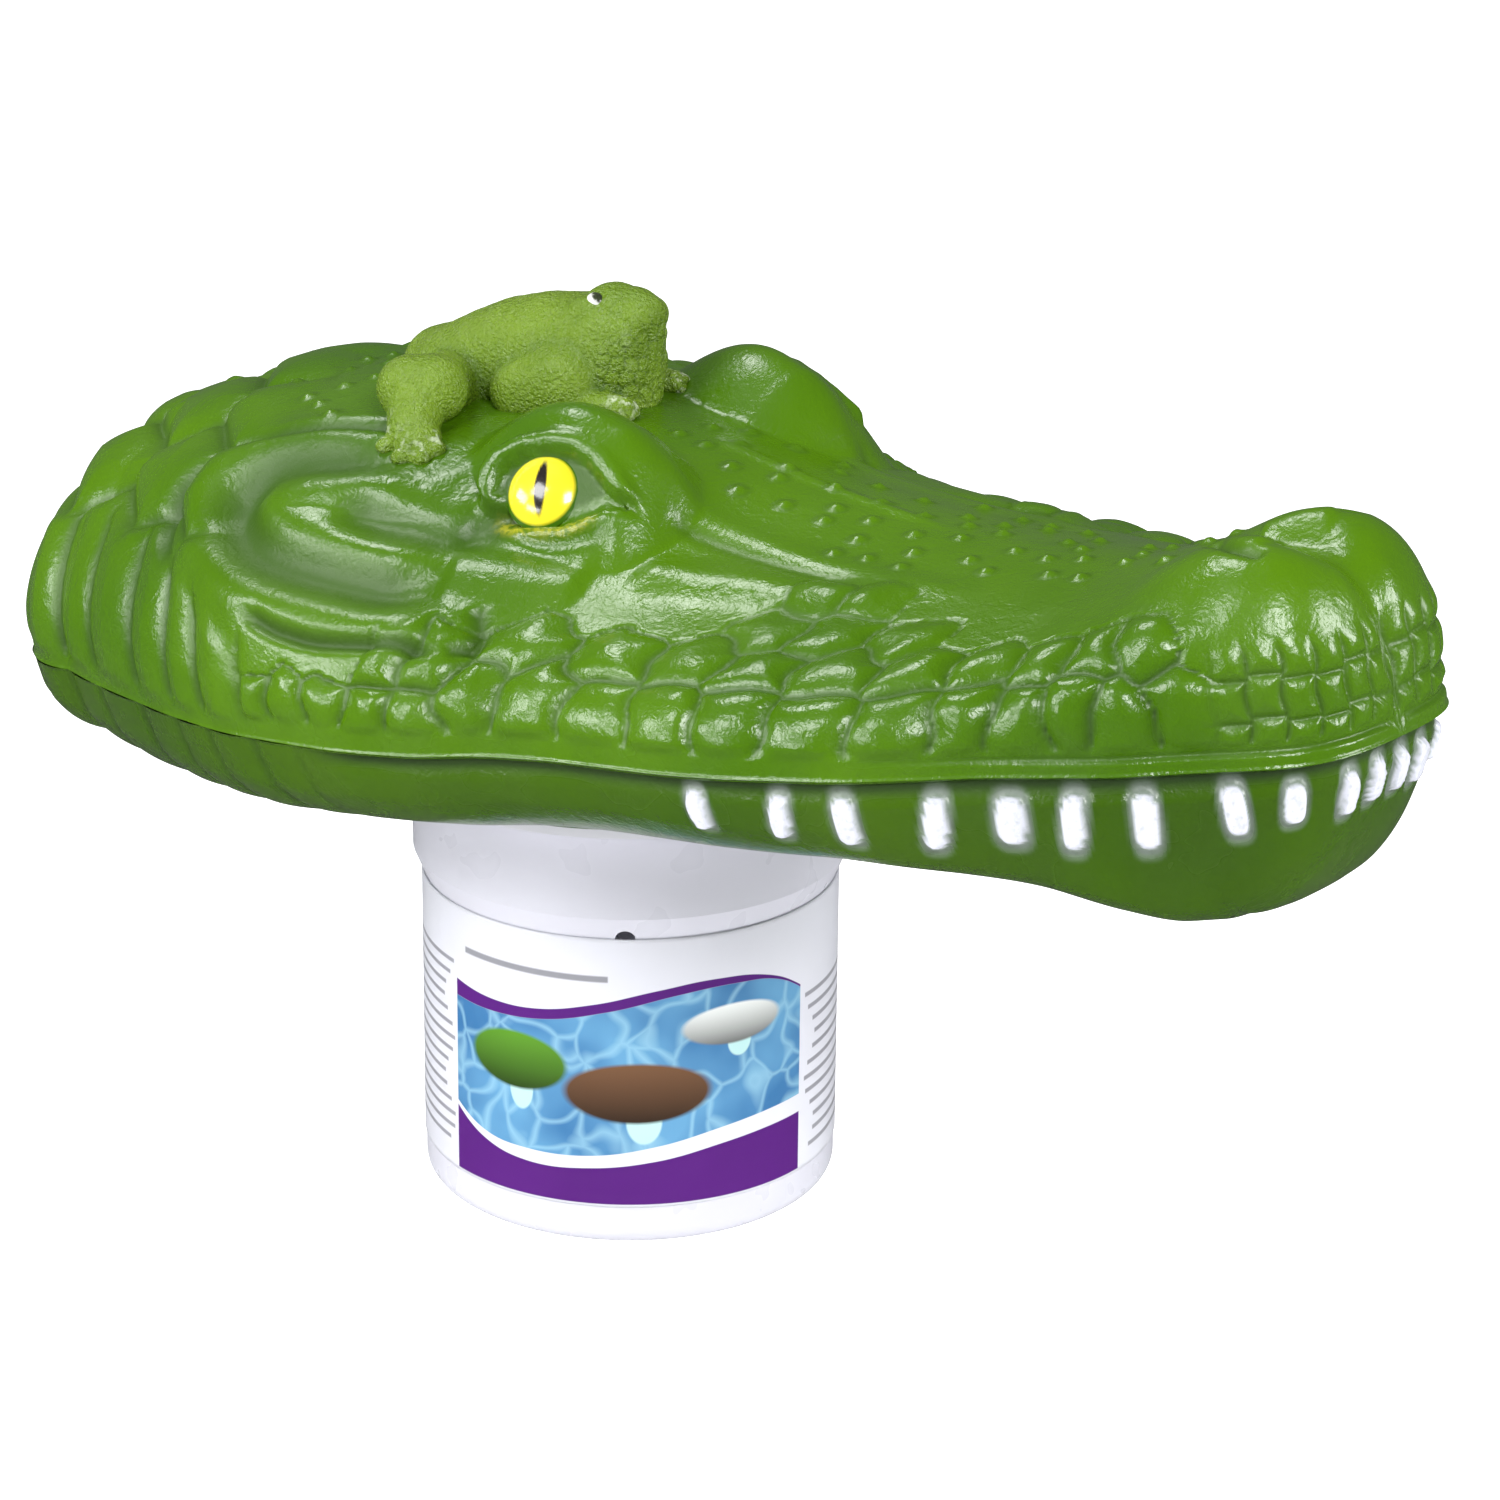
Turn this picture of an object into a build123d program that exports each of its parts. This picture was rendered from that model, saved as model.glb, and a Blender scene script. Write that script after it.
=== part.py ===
"""Floating chlorine dispenser: hollow reptile-head float over a twist-regulated tablet cup.

Millimetres. Origin at the centre of the cup's base, +Z up the cup's axis, +X to the snout.
The head is drawn on its own seam plane and then pitched nose-up over the cup.
"""

from build123d import *
import os
from math import radians, sqrt

# ---- head float -----------------------------------------------------------------------
WALL = 3.0
SEAM_HEIGHT = 133.7
NOSE_UP = 8.0
SNOUT_TIP = 215.0

# Stations along the head: place, half-width at the seam, crown height, jaw depth.
STATIONS = [
    (-165.0, 14.0, 11.0, 5.0),
    (-157.0, 41.0, 34.0, 13.5),
    (-144.0, 59.5, 49.5, 19.5),
    (-122.0, 70.5, 58.0, 23.0),
    (-90.0, 82.0, 64.5, 26.0),
    (-50.0, 93.5, 64.0, 26.5),
    (-5.0, 98.0, 58.5, 26.0),
    (25.0, 93.0, 53.5, 26.0),
    (50.0, 86.5, 47.5, 26.0),
    (75.0, 84.0, 43.0, 26.0),
    (98.0, 80.5, 38.5, 26.5),
    (120.0, 74.5, 35.0, 28.0),
    (150.0, 59.0, 32.0, 33.0),
    (175.0, 48.0, 33.0, 38.5),
    (192.0, 37.0, 35.0, 36.0),
    (205.0, 28.0, 29.0, 28.0),
    (212.5, 14.0, 15.0, 13.0),
]
# Half sections from the seam to the middle, as shares of half-width and of height.
CROWN_SHAPE = [(1.0, 0.22), (0.93, 0.47), (0.76, 0.7), (0.47, 0.91), (0.0, 1.0)]
JAW_SHAPE = [(0.97, 0.36), (0.85, 0.68), (0.6, 0.92), (0.3, 0.99), (0.0, 1.0)]

BROW_PLACE = (18.0, 34.0, 47.0)
BROW_RADII = (37.0, 18.0, 17.5)
NOSTRIL_PLACE = (194.0, 16.0, 26.0)
NOSTRIL_RADII = (15.0, 12.0, 13.0)

# Frog on the crown: name, centre, radii, in the head's own frame.
FROG_BODY = ((-20.0, 0.0, 69.0), (35.0, 16.0, 15.0))
FROG_HEAD = ((8.0, 0.0, 73.5), (14.0, 13.0, 12.5))
FROG_THROAT = ((10.0, 0.0, 61.0), (10.0, 11.0, 9.0))
FROG_THIGH = ((-38.0, 20.0, 66.0), (17.0, 10.0, 10.0))
FROG_KNEE = ((-24.0, 31.0, 65.0), (13.0, 10.0, 10.5))
FROG_SHIN = ((-18.0, 42.0, 59.0), (9.0, 8.0, 9.0))
FROG_ARM = ((0.0, 15.0, 62.0), (10.0, 6.0, 10.0))

# ---- cup and socket -------------------------------------------------------------------
CUP_RADIUS = 49.6
CUP_WALL = 2.2
CUP_EDGE = 4.0
CUP_TOP = 106.5
COLLAR_RADIUS = 52.0
COLLAR_BOTTOM = 84.3
CHAMFER_BOTTOM = 78.6
OUTER_FLOOR = 2.8
LABEL_BOTTOM = 10.3
LABEL_THICKNESS = 0.3
LABEL_GAP_DEGREES = 4.0
VENT_RADIUS = 2.35
VENT_ANGLE = -50.0
VENT_COUNT = 4

RUN_GAP = 0.5
FLOOR_GAP = 0.4
INNER_RADIUS = CUP_RADIUS - CUP_WALL - RUN_GAP
INNER_FLOOR = 2.6
INNER_TOP = 121.0
BEAD_BOTTOM = 91.0
BEAD_HEIGHT = 4.0
BEAD_PROUD = 1.8
LUG_BOTTOM = 111.0
LUG_HEIGHT = 4.0
LUG_PROUD = 2.0
LUG_WIDTH = 12.0
LUG_COUNT = 3

SLOT_COUNT = 6
SLOT_INSIDE = 16.0
SLOT_OUTSIDE = 36.0
SLOT_DEGREES = 26.0

PAN_BORE = INNER_RADIUS + RUN_GAP
PAN_WALL = 2.0
PAN_CEILING = 124.0
FLANGE_BOTTOM = 107.5
FLANGE_THICKNESS = 3.0
FLANGE_RADIUS = 60.0
GASKET_THICKNESS = 1.5
SEAT_HEIGHT = FLANGE_BOTTOM + FLANGE_THICKNESS + GASKET_THICKNESS
SEAT_RADIUS = 62.0
SEAT_POCKET = 9.0
CLAMP_THICKNESS = 4.0
SCREW_COUNT = 6
SCREW_CIRCLE = 55.8
SCREW_RADIUS = 1.5
SCREW_HEAD = 3.0
SCREW_LENGTH = 10.0

PLUG_PLACE = -112.0
PLUG_SEAT = -21.5
PLUG_STEM = 3.4
PLUG_HEAD = 5.6


def on_head(shape):
    """Pitches a shape from the seam plane's frame into the cup's frame."""
    return Location((0, 0, SEAM_HEIGHT), (0, -NOSE_UP, 0)) * shape


def section(place, width, height, shape):
    """A closed section across the head: flat on the seam plane, arched through the shape."""
    side = [(width * share, height * rise) for share, rise in shape]
    mirrored = [(-across, up) for across, up in reversed(side[:-1])]
    arch = [(width, 0.0), *side, *mirrored, (-width, 0.0)]
    points = [Vector(place, across, up) for across, up in arch]
    return Wire([Spline(*points), Line(points[-1], points[0])])


def half_head(shape, up, inset):
    """One half of the head, drawn inset by a wall where it is the hollow."""
    sections = []
    for place, width, crown, jaw in STATIONS:
        height = (crown if up else jaw) - inset
        if height < 2 * WALL and inset:
            continue
        shift = -inset * (place / SNOUT_TIP) ** 3
        sections.append(section(place + shift, width - inset, up_sign(up) * height, shape))
    return Solid.make_loft(sections)


def up_sign(up):
    return 1.0 if up else -1.0


def blob(centre, radii, side=1.0):
    """A rounded lump with the given centre and radii, on the chosen side of the head."""
    x, y, z = centre
    lump = scale(Sphere(1.0), by=radii)
    return Pos(x, side * y, z) * lump


def both_sides(centre, radii):
    return [blob(centre, radii, side) for side in (-1.0, 1.0)]


def frog():
    lumps = [blob(*FROG_BODY), blob(*FROG_HEAD), blob(*FROG_THROAT)]
    for limb in (FROG_THIGH, FROG_KNEE, FROG_SHIN, FROG_ARM):
        lumps += both_sides(*limb)
    return lumps


def upper_head_shell():
    """Crown half of the float, with brows, nostrils and frog moulded on."""
    shell = Part() + half_head(CROWN_SHAPE, True, 0.0)
    for lump in [*both_sides(BROW_PLACE, BROW_RADII), *both_sides(NOSTRIL_PLACE, NOSTRIL_RADII), *frog()]:
        shell += lump
    shell -= half_head(CROWN_SHAPE, True, WALL)
    return on_head(shell)


def lower_jaw_shell():
    """Jaw half of the float, with a level seat for the socket and a plugged vent hole."""
    outer = on_head(half_head(JAW_SHAPE, False, 0.0))
    hollow = on_head(half_head(JAW_SHAPE, False, WALL))
    seat_boss = Pos(0, 0, SEAT_HEIGHT) * level_disc(SEAT_RADIUS + WALL, WALL + SEAT_POCKET)
    pocket = Pos(0, 0, SEAT_HEIGHT + WALL) * level_disc(SEAT_RADIUS, SEAT_POCKET)
    recess = Pos(0, 0, SEAT_HEIGHT - 40.0) * level_disc(SEAT_RADIUS, 40.0)
    floor_keep = Pos(0, 0, SEAT_HEIGHT - 40.0) * level_disc(SEAT_RADIUS + WALL, 40.0 + WALL)
    opening = Pos(0, 0, SEAT_HEIGHT - 5.0) * level_disc(PAN_BORE + LUG_PROUD + PAN_WALL + 0.6, 15.0)
    plug_boss = on_head(Pos(PLUG_PLACE, 0, PLUG_SEAT) * level_disc(PLUG_HEAD + 2.5, WALL))
    plug_recess = on_head(Pos(PLUG_PLACE, 0, PLUG_SEAT - 10.0) * level_disc(PLUG_HEAD + 0.6, 10.0))
    plug_hole = on_head(Pos(PLUG_PLACE, 0, PLUG_SEAT - 1.0) * level_disc(PLUG_STEM, WALL + 2.0))
    shell = Part() + outer + seat_boss - recess
    shell -= hollow - floor_keep
    shell += plug_boss
    shell -= pocket
    return drilled(shell - opening - plug_recess - plug_hole, SCREW_RADIUS + 0.1)


def level_disc(radius, height):
    return Cylinder(radius, height, align=(Align.CENTER, Align.CENTER, Align.MIN))


def ring(outside, inside, height):
    return level_disc(outside, height) - level_disc(inside, height)


def around(shape, count, start=0.0):
    return [Rot(0, 0, start + 360.0 * i / count) * shape for i in range(count)]


def socket_cup():
    """White pan in the belly: flange below, closed ceiling above, channels for the lugs."""
    outside = PAN_BORE + LUG_PROUD + PAN_WALL
    pan = Pos(0, 0, FLANGE_BOTTOM) * level_disc(outside, PAN_CEILING + PAN_WALL - FLANGE_BOTTOM)
    pan += Pos(0, 0, FLANGE_BOTTOM) * level_disc(FLANGE_RADIUS, FLANGE_THICKNESS)
    pan -= Pos(0, 0, FLANGE_BOTTOM) * level_disc(PAN_BORE, PAN_CEILING - FLANGE_BOTTOM)
    channel_top = LUG_BOTTOM + LUG_HEIGHT + 2.0
    channel_height = channel_top - FLANGE_BOTTOM
    channel = Pos(PAN_BORE, 0, FLANGE_BOTTOM + channel_height / 2) * Box(
        2 * LUG_PROUD, LUG_WIDTH + 2.0, channel_height
    )
    for cut in around(channel, LUG_COUNT):
        pan -= cut
    for cut in around(screw(SCREW_RADIUS + 0.05, SCREW_HEAD + 0.05), SCREW_COUNT, 30.0):
        pan -= cut
    return pan


def screw(radius, head):
    """A countersunk screw pointing up, its head flush under the flange."""
    cone = Pos(SCREW_CIRCLE, 0, FLANGE_BOTTOM) * Cone(
        head, radius, 2.0, align=(Align.CENTER, Align.CENTER, Align.MIN)
    )
    return cone + Pos(SCREW_CIRCLE, 0, FLANGE_BOTTOM) * level_disc(radius, SCREW_LENGTH)


def socket_screws():
    return around(screw(SCREW_RADIUS, SCREW_HEAD), SCREW_COUNT, 30.0)


def drilled(shape, radius):
    """Cuts the screw circle's holes through a flat ring."""
    hole = Pos(SCREW_CIRCLE, 0, FLANGE_BOTTOM) * level_disc(radius, 3 * SCREW_LENGTH)
    for cut in around(hole, SCREW_COUNT, 30.0):
        shape -= cut
    return shape


def socket_gasket():
    inside = PAN_BORE + LUG_PROUD + PAN_WALL + 0.1
    flat = Pos(0, 0, FLANGE_BOTTOM + FLANGE_THICKNESS) * ring(FLANGE_RADIUS, inside, GASKET_THICKNESS)
    return drilled(flat, SCREW_RADIUS + 0.1)


def clamp_ring():
    inside = PAN_BORE + LUG_PROUD + PAN_WALL + 0.6
    flat = Pos(0, 0, SEAT_HEIGHT + WALL) * ring(FLANGE_RADIUS, inside, CLAMP_THICKNESS)
    return drilled(flat, SCREW_RADIUS + 0.02)


def vent_plug():
    stem = Pos(PLUG_PLACE, 0, PLUG_SEAT) * level_disc(PLUG_STEM - 0.02, WALL + 2.5)
    barb = Pos(PLUG_PLACE, 0, PLUG_SEAT + WALL + 0.3) * Cone(
        PLUG_STEM + 0.8, PLUG_STEM - 0.4, 2.4, align=(Align.CENTER, Align.CENTER, Align.MIN)
    )
    head = Pos(PLUG_PLACE, 0, PLUG_SEAT - 2.0) * level_disc(PLUG_HEAD, 2.0)
    return on_head(stem + barb + head)


def floor_slots(floor_bottom, floor_height):
    """Ring-sector slots through a cup floor."""
    slots = []
    for i in range(SLOT_COUNT):
        wedge = Pos(0, 0, floor_bottom) * Cylinder(
            SLOT_OUTSIDE, floor_height, SLOT_DEGREES, align=(Align.NONE, Align.NONE, Align.MIN)
        )
        core = Pos(0, 0, floor_bottom) * level_disc(SLOT_INSIDE, floor_height)
        slots.append(Rot(0, 0, 360.0 * i / SLOT_COUNT) * (wedge - core))
    return slots


def vents(inside, outside):
    """Round holes through a cup wall at the chamfer's foot."""
    drill = Pos((inside + outside) / 2, 0, CHAMFER_BOTTOM) * Rot(0, 90, 0) * Cylinder(
        VENT_RADIUS, outside - inside
    )
    return around(drill, VENT_COUNT, VENT_ANGLE)


def outer_cup():
    """White cup with a thick collar; it turns round the inner cup to set the flow."""
    bore = CUP_RADIUS - CUP_WALL
    groove = INNER_RADIUS + BEAD_PROUD + RUN_GAP
    groove_bottom = BEAD_BOTTOM - RUN_GAP
    groove_top = BEAD_BOTTOM + BEAD_HEIGHT + RUN_GAP
    edge = CUP_EDGE * (1.0 - sqrt(0.5))
    with BuildPart() as cup:
        with BuildSketch(Plane.XZ):
            with BuildLine():
                Line((0, 0), (CUP_RADIUS - CUP_EDGE, 0))
                ThreePointArc(
                    (CUP_RADIUS - CUP_EDGE, 0), (CUP_RADIUS - edge, edge), (CUP_RADIUS, CUP_EDGE)
                )
                Polyline(
                    (CUP_RADIUS, CUP_EDGE),
                    (CUP_RADIUS, CHAMFER_BOTTOM),
                    (COLLAR_RADIUS, COLLAR_BOTTOM),
                    (COLLAR_RADIUS, CUP_TOP),
                    (bore, CUP_TOP),
                    (bore, groove_top),
                    (groove, groove_top),
                    (groove, groove_bottom),
                    (bore, groove_bottom),
                    (bore, OUTER_FLOOR),
                    (0, OUTER_FLOOR),
                    (0, 0),
                )
            make_face()
        revolve(axis=Axis.Z)
    shape = cup.part
    for cut in floor_slots(0.0, OUTER_FLOOR):
        shape -= cut
    for cut in vents(bore - 1.0, COLLAR_RADIUS + 1.0):
        shape -= cut
    return shape


def inner_cup():
    """Tablet cup: slotted floor, snap bead for the outer cup, lugs for the socket."""
    bottom = OUTER_FLOOR + FLOOR_GAP
    cup = Pos(0, 0, bottom) * level_disc(INNER_RADIUS, INNER_TOP - bottom)
    cup += Pos(0, 0, BEAD_BOTTOM) * level_disc(INNER_RADIUS + BEAD_PROUD, BEAD_HEIGHT)
    lug = Pos(INNER_RADIUS, 0, LUG_BOTTOM + LUG_HEIGHT / 2) * Box(2 * LUG_PROUD - 0.8, LUG_WIDTH, LUG_HEIGHT)
    for piece in around(lug, LUG_COUNT):
        cup += piece
    cup -= Pos(0, 0, bottom + INNER_FLOOR) * level_disc(INNER_RADIUS - CUP_WALL, INNER_TOP)
    for cut in floor_slots(bottom, INNER_FLOOR):
        cup -= cut
    for cut in vents(INNER_RADIUS - CUP_WALL - 1.0, INNER_RADIUS + 1.0):
        cup -= cut
    return cup


def wrap_label():
    """Printed label glued round the cup, its ends meeting at the back."""
    band = Pos(0, 0, LABEL_BOTTOM) * ring(
        CUP_RADIUS + LABEL_THICKNESS, CUP_RADIUS + 0.01, CHAMFER_BOTTOM - LABEL_BOTTOM
    )
    gap = Rot(0, 0, 180.0 + VENT_ANGLE) * Pos(CUP_RADIUS, 0, (LABEL_BOTTOM + CHAMFER_BOTTOM) / 2) * Box(
        10.0, CUP_RADIUS * radians(LABEL_GAP_DEGREES), CHAMFER_BOTTOM
    )
    return band - gap


def write(node, solids):
    shapes = solids if isinstance(solids, list) else [solids]
    export_step(Compound(children=[s for shape in shapes for s in shape.solids()]), f"parts/{node}.step")


NODES = {
    "upper_head_shell": upper_head_shell,
    "lower_jaw_shell": lower_jaw_shell,
    "socket_cup": socket_cup,
    "socket_gasket": socket_gasket,
    "clamp_ring": clamp_ring,
    "socket_screws": socket_screws,
    "vent_plug": vent_plug,
    "inner_cup": inner_cup,
    "outer_cup": outer_cup,
    "wrap_label": wrap_label,
}

os.makedirs("parts", exist_ok=True)
for name, make in NODES.items():
    write(name, make())
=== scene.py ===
"""Looks of the floating chlorine dispenser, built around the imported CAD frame.

The head's skin is drawn in millimetres on its own seam plane (x to the snout, y to the left,
h up from the seam) and then pitched nose-up into the row frame, in metres.
"""

import math

import bmesh
import bpy
import numpy as np
from mathutils import Matrix, Vector


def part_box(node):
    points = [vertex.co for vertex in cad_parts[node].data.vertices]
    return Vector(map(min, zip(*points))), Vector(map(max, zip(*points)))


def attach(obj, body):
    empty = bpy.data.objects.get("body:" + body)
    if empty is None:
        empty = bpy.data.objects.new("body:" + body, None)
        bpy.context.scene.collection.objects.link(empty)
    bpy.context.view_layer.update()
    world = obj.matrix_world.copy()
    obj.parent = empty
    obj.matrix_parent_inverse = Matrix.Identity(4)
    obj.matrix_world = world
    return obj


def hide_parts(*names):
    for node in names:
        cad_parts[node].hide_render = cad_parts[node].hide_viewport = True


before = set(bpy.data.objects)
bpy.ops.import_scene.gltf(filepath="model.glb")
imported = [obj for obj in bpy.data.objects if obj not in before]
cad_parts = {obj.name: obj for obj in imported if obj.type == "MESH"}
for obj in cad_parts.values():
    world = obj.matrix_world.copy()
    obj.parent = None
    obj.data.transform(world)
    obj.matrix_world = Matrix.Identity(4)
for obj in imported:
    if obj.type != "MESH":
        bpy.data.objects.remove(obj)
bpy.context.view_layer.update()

MM = 0.001
SEED = 7

# ---- head outline, in millimetres on the seam plane ----
SEAM_HEIGHT = 133.7
NOSE_UP = math.radians(8)
TIP, NAPE = 215, -166
NOSE_CAP, NAPE_CAP = 196, -120
HALF_WIDTH = [
    (-120, 70), (-103, 77), (-81, 84.5), (-57, 92), (-32, 97), (-5, 98), (18, 95), (36, 88),
    (55, 85), (80, 84), (95, 82), (110, 78), (124, 73.5), (138, 66), (150, 59), (163, 53.5),
    (177, 47.5), (187, 41), (196, 35.5), (205, 31), (215, 28),
]
CROWN_HEIGHT = [
    (-120, 57), (-100, 62.5), (-80, 65), (-52, 64), (-20, 60), (0, 58), (20, 54), (40, 49),
    (64, 42.2), (100, 35.4), (125, 33), (146, 32.5), (160, 35), (172, 38), (184, 39), (196, 38.5),
]
JAW_DEPTH = [
    (-120, 23), (-90, 26), (-40, 27), (0, 26), (60, 25), (110, 26), (135, 29), (152, 32.5),
    (168, 37.5), (180, 39.5), (190, 39.5), (196, 38.5),
]
# Half sections of the crown from seam to middle: shares of half-width and of height.
CROWN_SECTIONS = {
    -172: [(1, 0), (1, 0.25), (0.9, 0.5), (0.73, 0.72), (0.5, 0.88), (0.25, 0.97), (0, 1)],
    -100: [(1, 0), (1, 0.23), (0.92, 0.45), (0.77, 0.65), (0.55, 0.82), (0.28, 0.96), (0, 1)],
    -40: [(1, 0), (1, 0.23), (0.93, 0.44), (0.79, 0.65), (0.6, 0.86), (0.32, 0.99), (0, 1)],
    20: [(1, 0), (0.99, 0.19), (0.9, 0.36), (0.74, 0.53), (0.54, 0.76), (0.31, 0.95), (0, 1)],
    62: [(1, 0), (0.985, 0.2), (0.91, 0.38), (0.77, 0.53), (0.57, 0.68), (0.32, 0.87), (0, 1)],
    110: [(1, 0), (0.985, 0.23), (0.91, 0.43), (0.77, 0.58), (0.57, 0.73), (0.31, 0.9), (0, 1)],
    160: [(1, 0), (1, 0.25), (0.95, 0.47), (0.8, 0.65), (0.58, 0.8), (0.3, 0.93), (0, 1)],
    196: [(1, 0), (1, 0.28), (0.98, 0.54), (0.88, 0.78), (0.66, 0.95), (0.34, 1.02), (0, 0.98)],
}
JAW_SECTION = [
    (1, 0), (0.985, 0.22), (0.95, 0.5), (0.84, 0.78), (0.62, 0.94), (0.3, 0.99), (0, 1),
]
JAW_SECTIONS = {-172: JAW_SECTION, 196: JAW_SECTION}


# ---- small maths ----
def curve(knots, x):
    """Smooth curve through (place, value) knots that never overshoots them."""
    xs, ys = np.array(knots, float).T
    gaps = np.diff(xs)
    slopes = np.diff(ys) / gaps
    tangent = np.zeros_like(ys)
    same_way = slopes[1:] * slopes[:-1] > 0
    total = np.where(same_way, slopes[1:] + slopes[:-1], 1)
    tangent[1:-1] = np.where(same_way, 2 * slopes[1:] * slopes[:-1] / total, 0)
    tangent[0], tangent[-1] = slopes[0], slopes[-1]
    x = np.clip(x, xs[0], xs[-1])
    i = np.clip(np.searchsorted(xs, x) - 1, 0, len(xs) - 2)
    t = (x - xs[i]) / gaps[i]
    rise = ys[i] * (1 + 2 * t) * (1 - t) ** 2 + ys[i + 1] * t * t * (3 - 2 * t)
    return rise + gaps[i] * t * (1 - t) * (tangent[i] * (1 - t) - tangent[i + 1] * t)


def rounded_line(values, v):
    """Smooth line through evenly spaced values, level at its last one."""
    values = np.array(values, float)
    count = len(values) - 1
    i = np.clip((v * count).astype(int), 0, count - 1)
    f = v * count - i
    last = values[-2] if values[-1] >= values[-2] * 0.5 else -values[-2]
    padded = np.concatenate([[2 * values[0] - values[1]], values, [last]])
    p0, p1, p2, p3 = (padded[i + k] for k in range(4))
    linear = (p2 - p0) * f
    square = (2 * p0 - 5 * p1 + 4 * p2 - p3) * f**2
    cube = (3 * p1 - p0 - 3 * p2 + p3) * f**3
    return 0.5 * (2 * p1 + linear + square + cube)


def step(low, high, x):
    """Smooth rise from 0 at low to 1 at high."""
    t = np.clip((x - low) / (high - low), 0, 1)
    return t * t * (3 - 2 * t)


def bell(distance, width):
    return np.exp(-((distance / width) ** 2))


def dome(a, b):
    """Compact smooth dome: 1 in the middle, 0 beyond radius 1."""
    return np.clip(1 - a * a - b * b, 0, 1) ** 1.5


def unit(vectors):
    return vectors / np.maximum(np.linalg.norm(vectors, axis=-1, keepdims=True), 1e-9)


def route_points(route, samples):
    """Points along a smooth route through a few (u, v) knots."""
    along, knots = np.linspace(0, 1, samples), np.linspace(0, 1, len(route))
    return np.stack([curve(list(zip(knots, values)), along) for values in zip(*route)], 1)


ROUTE_SAMPLES = 90
ROUTE_FADE = 0.14


def along_route(u, v, route, reach):
    """Distance to a route, and a share that fades out at its two ends; far away beyond reach."""
    points = route_points(route, ROUTE_SAMPLES)
    low, high = points.min(0) - reach, points.max(0) + reach
    near = (u > low[0]) & (u < high[0]) & (v > low[1]) & (v < high[1])
    distance = np.full(u.shape, 1e3)
    fade = np.zeros(u.shape)
    gap = np.hypot(u[near][:, None] - points[:, 0], v[near][:, None] - points[:, 1])
    nearest = gap.argmin(1) / (ROUTE_SAMPLES - 1)
    distance[near] = gap.min(1)
    fade[near] = step(0, ROUTE_FADE, nearest) * step(0, ROUTE_FADE, 1 - nearest)
    return distance, fade


def stroke(u, v, route, reach, width):
    """Soft line along a route: 1 on it, and nothing beyond reach."""
    distance, fade = along_route(u, v, route, reach)
    return bell(distance, width) * fade


def stripes(place, gap):
    """Number of the stripe at each place, and the distance to its nearer edge."""
    number = np.floor(place)
    share = place - number
    return number, np.minimum(share, 1 - share) * gap


CELL_BATCH = 20000


def cells(u, v, seeds):
    """For each point: distance to its cell's edge, to its seed, and the seed's number."""
    points = np.stack([u.ravel(), v.ravel()], 1)
    edge = np.empty(len(points))
    middle = np.empty(len(points))
    own = np.empty(len(points), int)
    for start in range(0, len(points), CELL_BATCH):
        part = points[start : start + CELL_BATCH]
        gap = np.hypot(part[:, :1] - seeds[:, 0], part[:, 1:] - seeds[:, 1])
        order = np.argpartition(gap, 1, axis=1)[:, :2]
        rank = np.argsort(np.take_along_axis(gap, order, 1), axis=1, kind="stable")
        order = np.take_along_axis(order, rank, 1)
        pair = np.take_along_axis(gap, order, 1)
        apart = np.hypot(*(seeds[order[:, 0]] - seeds[order[:, 1]]).T)
        stop = start + len(part)
        edge[start:stop] = (pair[:, 1] ** 2 - pair[:, 0] ** 2) / (2 * np.maximum(apart, 1e-6))
        middle[start:stop] = pair[:, 0]
        own[start:stop] = order[:, 0]
    return edge.reshape(u.shape), middle.reshape(u.shape), own.reshape(u.shape)


def lattice(u_range, v_range, u_gap, v_gap, jitter, seed, stagger=0.5):
    """Seeds in staggered rows, each moved a little at random."""
    rng = np.random.default_rng(seed)
    rows = np.arange(v_range[0], v_range[1], v_gap)
    seeds = []
    for k, v in enumerate(rows):
        us = np.arange(u_range[0] + (k % 2) * u_gap * stagger, u_range[1], u_gap)
        seeds += [(u, v) for u in us]
    seeds = np.array(seeds)
    return seeds + rng.uniform(-jitter, jitter, seeds.shape) * (u_gap, v_gap)


def polygon_distance(a, b, corners):
    """Distance to a closed outline, negative inside it."""
    corners = np.array(corners, float)
    nearest = np.full(a.shape, 1e6)
    inside = np.zeros(a.shape, bool)
    for (x0, y0), (x1, y1) in zip(corners, np.roll(corners, -1, axis=0)):
        dx, dy = x1 - x0, y1 - y0
        t = np.clip(((a - x0) * dx + (b - y0) * dy) / (dx * dx + dy * dy), 0, 1)
        nearest = np.minimum(nearest, np.hypot(a - x0 - t * dx, b - y0 - t * dy))
        crosses = (y0 > b) != (y1 > b)
        level = np.where(crosses, (b - y0) / (dy if dy else 1e-9), 0)
        inside ^= crosses & (a < x0 + level * dx)
    return np.where(inside, -nearest, nearest)


def ripple(points, size, seed):
    """Smooth noise over points, mostly in -1..1, with the given wave size."""
    rng = np.random.default_rng(seed)
    total = np.zeros(len(points))
    for _ in range(9):
        turns = points @ unit(rng.normal(size=3)) * (2 * np.pi / size)
        total += np.sin(turns * rng.uniform(0.7, 1.5) + rng.uniform(0, 6.3))
    return total / 4


# ---- meshes ----
def to_row(points):
    """Head-frame millimetres to row-frame metres."""
    x, y, h = points[..., 0], points[..., 1], points[..., 2]
    cos, sin = math.cos(NOSE_UP), math.sin(NOSE_UP)
    return np.stack([x * cos - h * sin, y, x * sin + h * cos + SEAM_HEIGHT], -1) * MM


def add_object(name, data):
    thing = bpy.data.objects.new(name, data)
    bpy.context.scene.collection.objects.link(thing)
    return thing


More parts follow.
